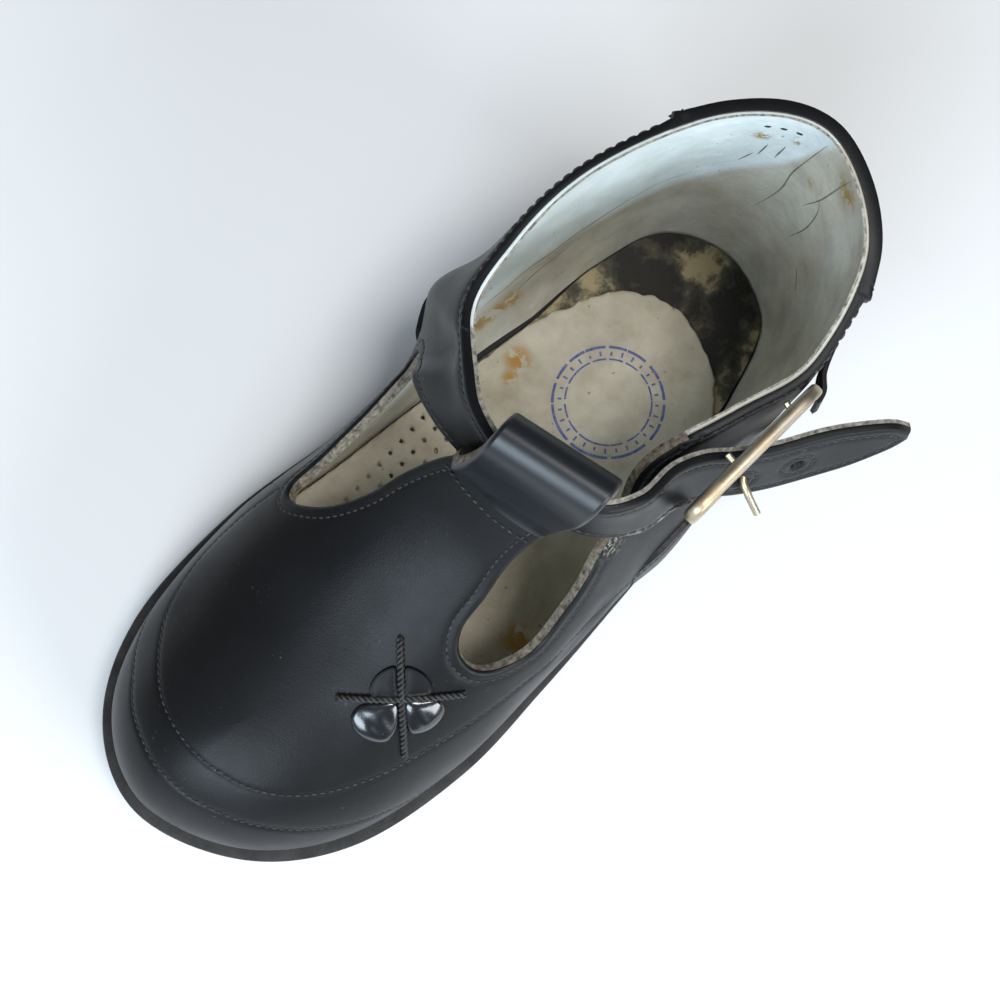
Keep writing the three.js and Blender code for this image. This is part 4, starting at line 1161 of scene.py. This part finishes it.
for radius, half in zip(STAMP_RADII, (0.28, 0.18)):
    for k in range(STAMP_ARCS):
        a = np.linspace(0, rng.uniform(0.26, 0.39), 12) + k * 2 * math.pi / STAMP_ARCS
        stamp_strip(STAMP_AT[0] + radius * np.cos(a), STAMP_AT[1] + radius * np.sin(a), half)
for k in range(STAMP_TICKS):
    a = k * 2 * math.pi / STAMP_TICKS
    r = np.linspace(9.4, rng.uniform(10.0, 10.5), 3)
    stamp_strip(STAMP_AT[0] + r * math.cos(a), STAMP_AT[1] + r * math.sin(a), 0.2)
stamp.add("stamp_ring", INK, "sock_leather")


def welt_ring(steps=480):
    q = np.linspace(0, RIBS, steps, endpoint=False)
    ring, out = rib(q)[:, :2], outward(q)
    base = face(q, 0)[:, 2]
    v = solve(lambda m: face(q, m)[:, 2] - base < WELT_HEIGHT, np.zeros(steps), np.ones(steps))
    line = face(q, v) + face_normal(q, v) * 0.05
    reach = np.maximum(WELT_OUTSET, ((line[:, :2] - ring) * out).sum(1) + 1.4)

    def at(distance, z):
        return np.column_stack([ring + out * np.broadcast_to(distance, steps)[:, None], z])

    low = seat((ring + out * reach[:, None])[:, 0]) + GAP / 2
    high = line[:, 2]
    rows = [
        at(0.4, seat(ring[:, 0]) + GAP / 2), line,
        at(reach - 1.0, high + 0.05), at(reach - 0.4, high - 0.15), at(reach - 0.05, high - 0.7),
        at(reach, mix(low, high, 0.45)), at(reach, low)]
    ids = closed_rows(np.arange(steps * len(rows)).reshape(steps, -1))
    return np.stack(rows, 1).reshape(-1, 3), grid_tris(np.vstack([ids, ids[:1]]).T)


add_piece("welt_strip", welt_ring(), [WELT], ("welt",))


# Buckle

def sweep(path, section, closed=False, up=None):
    """Solid along a path: the section's rows are offsets across and up."""
    path = np.asarray(path, float)
    n, m = len(path), len(section)
    ahead = np.roll(path, -1, 0) - np.roll(path, 1, 0) if closed else np.gradient(path, axis=0)
    tangent = unit(ahead)
    rise = np.broadcast_to(np.array((0.1, 0.2, 1.0)) if up is None else np.asarray(up, float), path.shape)
    side = unit(np.cross(rise, tangent))
    rise = np.cross(tangent, side)
    ring = path[:, None] + side[:, None] * section[None, :, :1] + rise[:, None] * section[None, :, 1:]
    ids = closed_rows(np.arange(n * m).reshape(n, m))
    if closed:
        return ring.reshape(-1, 3), grid_tris(np.vstack([ids, ids[:1]]).T)
    fan = np.arange(1, m - 1)
    cap = np.stack([np.zeros_like(fan), fan, fan + 1], 1)
    return ring.reshape(-1, 3), np.concatenate([grid_tris(ids.T), cap, cap[:, ::-1] + (n - 1) * m])


def round_section(half_wide, half_thick, power=2.0, count=16):
    a = np.arange(count) * 2 * math.pi / count
    shape = np.stack([np.cos(a), np.sin(a)], 1)
    shape = np.sign(shape) * np.abs(shape) ** (2 / power)
    return shape * (half_wide, half_thick)


def frame_path(bend=10):
    corners = np.array(FRAME_CORNERS, float)
    path = []
    for i, c in enumerate(corners):
        a = c + unit(corners[i - 1] - c) * FRAME_REACH
        b = c + unit(corners[(i + 1) % 4] - c) * FRAME_REACH
        t = np.linspace(0, 1, bend)[:, None]
        path.append(mix(mix(a, c, t), mix(c, b, t), t))
    return np.concatenate(path)


def resample(path, step):
    run = run_along(path)
    return read_along(np.linspace(0, run[-1], max(int(run[-1] / step), 2) + 1), run, path)


corners = np.array(FRAME_CORNERS, float)
frame_normal = unit(np.cross(corners[1] - corners[0], corners[3] - corners[0]))
ring = frame_path()
ring = resample(np.vstack([ring, ring[:1]]), 0.8)[:-1]
bar = sweep(ring, round_section(BAR_WIDTH / 2, BAR_THICK / 2, 3.2), closed=True, up=frame_normal)
add_piece("buckle_frame_bar", bar, [METAL], ("buckle_frame",), 60)
prong = sweep(loft(PRONG_ROWS, 60), round_section(PRONG_RADIUS, PRONG_RADIUS))
add_piece("buckle_tongue", prong, [METAL], ("buckle_prong",), 60)
for i, ends in enumerate(np.array(WIRE_ENDS)):
    path = mix(*ends, np.linspace(0, 1, 6)[:, None])
    wire = sweep(path, round_section(WIRE_RADIUS, WIRE_RADIUS, count=10))
    add_piece(f"buckle_wire_end_{i + 1}", wire, [METAL], sharp=60)


# Ornament

def on_leather(points, direction):
    """Points and normals where lines along a direction meet the finished leather."""
    aim = Vector(direction)
    found = [tree_top.ray_cast(Vector(p) + aim * 15, -aim) for p in points]
    return np.array([h[0] for h in found]), np.array([h[1] for h in found])


middle = face(ORNAMENT_RIB, ORNAMENT_CLIMB)
ornament_up = face_normal(np.array(ORNAMENT_RIB), np.array(ORNAMENT_CLIMB))
ornament_back = unit(np.array(ORNAMENT_BACK) - ornament_up * (np.array(ORNAMENT_BACK) @ ornament_up))
ornament_side = np.cross(ornament_back, ornament_up)


def ornament_points(along, across):
    flat = middle + np.outer(along, ornament_back) + np.outer(across, ornament_side)
    return on_leather(flat, ornament_up)


def add_petal(name, outline, height, material, rim=0.0, rings=16):
    loop = smooth_loop(outline, 8)
    centre = loop.mean(0)
    spokes = len(loop)
    r = np.linspace(0, 1, rings + 1)[1:]
    flat = np.concatenate([[centre], (centre + r[:, None, None] * (loop - centre)).reshape(-1, 2)])
    points, normals = ornament_points(*flat.T)
    tris = disc_tris(rings, spokes)
    a, b, c = points[tris[0]]
    if np.cross(b - a, c - a) @ ornament_up < 0:
        tris = tris[:, ::-1]
    spread = np.concatenate([[0], np.repeat(r, spokes)])
    dome = height * np.sqrt(np.maximum(0, 1 - spread ** 3.2)) + rim * np.exp(-((spread - 0.92) / 0.06) ** 2)
    dome = dome * (1 + 0.3 * wander(points, 7, 31) * (1 - spread ** 2))
    petal = sheet(Patch(points, normals, tris), dome + 0.03, -0.3)[:2]
    add_piece("petal_" + name, petal, [material], ("ornament_petal_" + name,), 60)


add_petal("back_left", [(along, -across) for along, across in PETAL_BACK], FLAT_PETAL, DULL, PETAL_RIM)
add_petal("back_right", PETAL_BACK, FLAT_PETAL, DULL, PETAL_RIM)
add_petal("front_left", PETAL_FRONT_LEFT, DOMED_PETAL, PATENT)
add_petal("front_right", PETAL_FRONT_RIGHT, DOMED_PETAL, PATENT)

cord = Heap()
for end in ((ARM_BACK, 0.0), (-ARM_FRONT, 0.4), (0.5, -ARM_SIDE), (-0.2, ARM_SIDE)):
    laid, normals = ornament_points(*np.outer(end, np.linspace(0, 1, 110)))
    side = unit(np.cross(normals, np.gradient(laid, axis=0)))
    for strand in (0, math.pi):
        turn = run_along(laid)[:, None] * 2 * math.pi / CORD_PITCH + strand
        path = laid + side * 0.36 * np.cos(turn) + normals * (0.42 + 0.24 * np.sin(turn))
        cord.join(*sweep(path, round_section(STRAND_RADIUS, STRAND_RADIUS, count=8), up=ornament_up))
cord.add("cord_strands", THREAD, "black_leather", ("ornament_cord",), 70)


# Stitching

def stitch_contours(threads, patch, key, level):
    for line, normals in contour(patch, patch[key], level):
        threads.stitches(line, normals)


threads = Laid(tree_top)
for key in ("cut", "collar", "foxing", "tab"):
    stitch_contours(threads, upper, key, STITCH_LEVELS[key])
for table in (TOE_ROW_INNER, TOE_ROW_OUTER):
    low, high = table[0][0], table[-1][0]
    q = np.linspace(low, high, int((high - low) * 50))
    v = smooth_table(table, q)
    threads.stitches(face(q, v), face_normal(q, v))
for low, high in OVERCAST:
    q = np.linspace(low, high, 200)
    v = np.full(200, OVERCAST_CLIMB)
    threads.stitches(face(q, v), face_normal(q, v), 2.0, (0.8, 0.3, 0.26))
threads.add("upper_stitches", THREAD, "black_leather", sharp=80)

threads = Laid(strap.tree(strap_top))
stitch_contours(threads, strap, "edge", STITCH_INSET)
threads.add("strap_stitches", THREAD, "black_leather", sharp=80)

threads = Laid(tree_top)
seam_up = np.broadcast_to(unit(SEAM_STITCH_UP), seam_row.shape)
threads.stitches(seam_row + SEAM_STITCH_SHIFT, seam_up)
threads.add("seam_stitches", THREAD, "black_leather", sharp=80)

q, v = np.linspace(*INNER_STITCH_RIBS, 60), np.full(60, INNER_STITCH_CLIMB)
inward = -face_normal(q, v)
threads = Laid(tree_lining)
threads.stitches(face(q, v) + inward * WALL, inward, 2.6, (0.6, 0.3, 0.2))
threads.add("lining_stitches", THREAD, "sock_leather", sharp=80)


# Stage

floor_mesh = bpy.data.meshes.new("floor")
floor_mesh.from_pydata([(-3, -3, 0), (3, -3, 0), (3, 3, 0), (-3, 3, 0)], [], [(0, 1, 2, 3)])
floor_mesh.materials.append(Look("floor", (0.8, 0.8, 0.8), 0.9, specular=0.1).material)
put("floor", floor_mesh)

world = bpy.data.worlds.new("studio")
world.use_nodes = True
sky = world.node_tree.nodes["Background"].inputs
sky["Color"].default_value = (0.92, 0.96, 1.0, 1)
sky["Strength"].default_value = 0.13
bpy.context.scene.world = world


def area(name, at, target, sides, power, color):
    light = bpy.data.lights.new(name, "AREA")
    light.shape = "RECTANGLE"
    light.size, light.size_y = sides
    light.energy = power
    light.color = color
    made = put(name, light)
    made.location = at
    made.rotation_euler = (Vector(target) - Vector(at)).to_track_quat("-Z", "Y").to_euler()


area("skylight", (-0.05, 0.28, 1.1), (0.05, 0, 0.03), (0.3, 0.3), 6.5, (1.0, 0.99, 0.97))
area("window", (0.86, 0.17, 0.62), (0.08, 0, 0.05), (0.66, 0.46), 10, (0.74, 0.87, 1.0))
area("side", (0.1, 0.95, 0.5), (0.05, 0, 0.05), (0.6, 0.4), 7.5, (0.88, 0.95, 1.0))

cam_data = bpy.data.cameras.new("camera")
cam_data.sensor_width = 36.0
cam_data.lens = FOCAL * cam_data.sensor_width
cam_data.clip_start, cam_data.clip_end = 0.01, 20
right, down = unit(CAMERA_RIGHT), unit(CAMERA_DOWN)
look = unit(np.cross(right, down) + (right * AIM_RIGHT + down * AIM_DOWN) / FOCAL)
right = unit(right - look * (right @ look))
up = np.cross(right, look)
camera = put("camera", cam_data)
turn = Matrix([[right[k], up[k], -look[k]] for k in range(3)]).to_4x4()
camera.matrix_world = Matrix.Translation(Vector(placed(CAMERA_AT))) @ turn
bpy.context.scene.camera = camera
bpy.context.scene.view_settings.view_transform = "Standard"
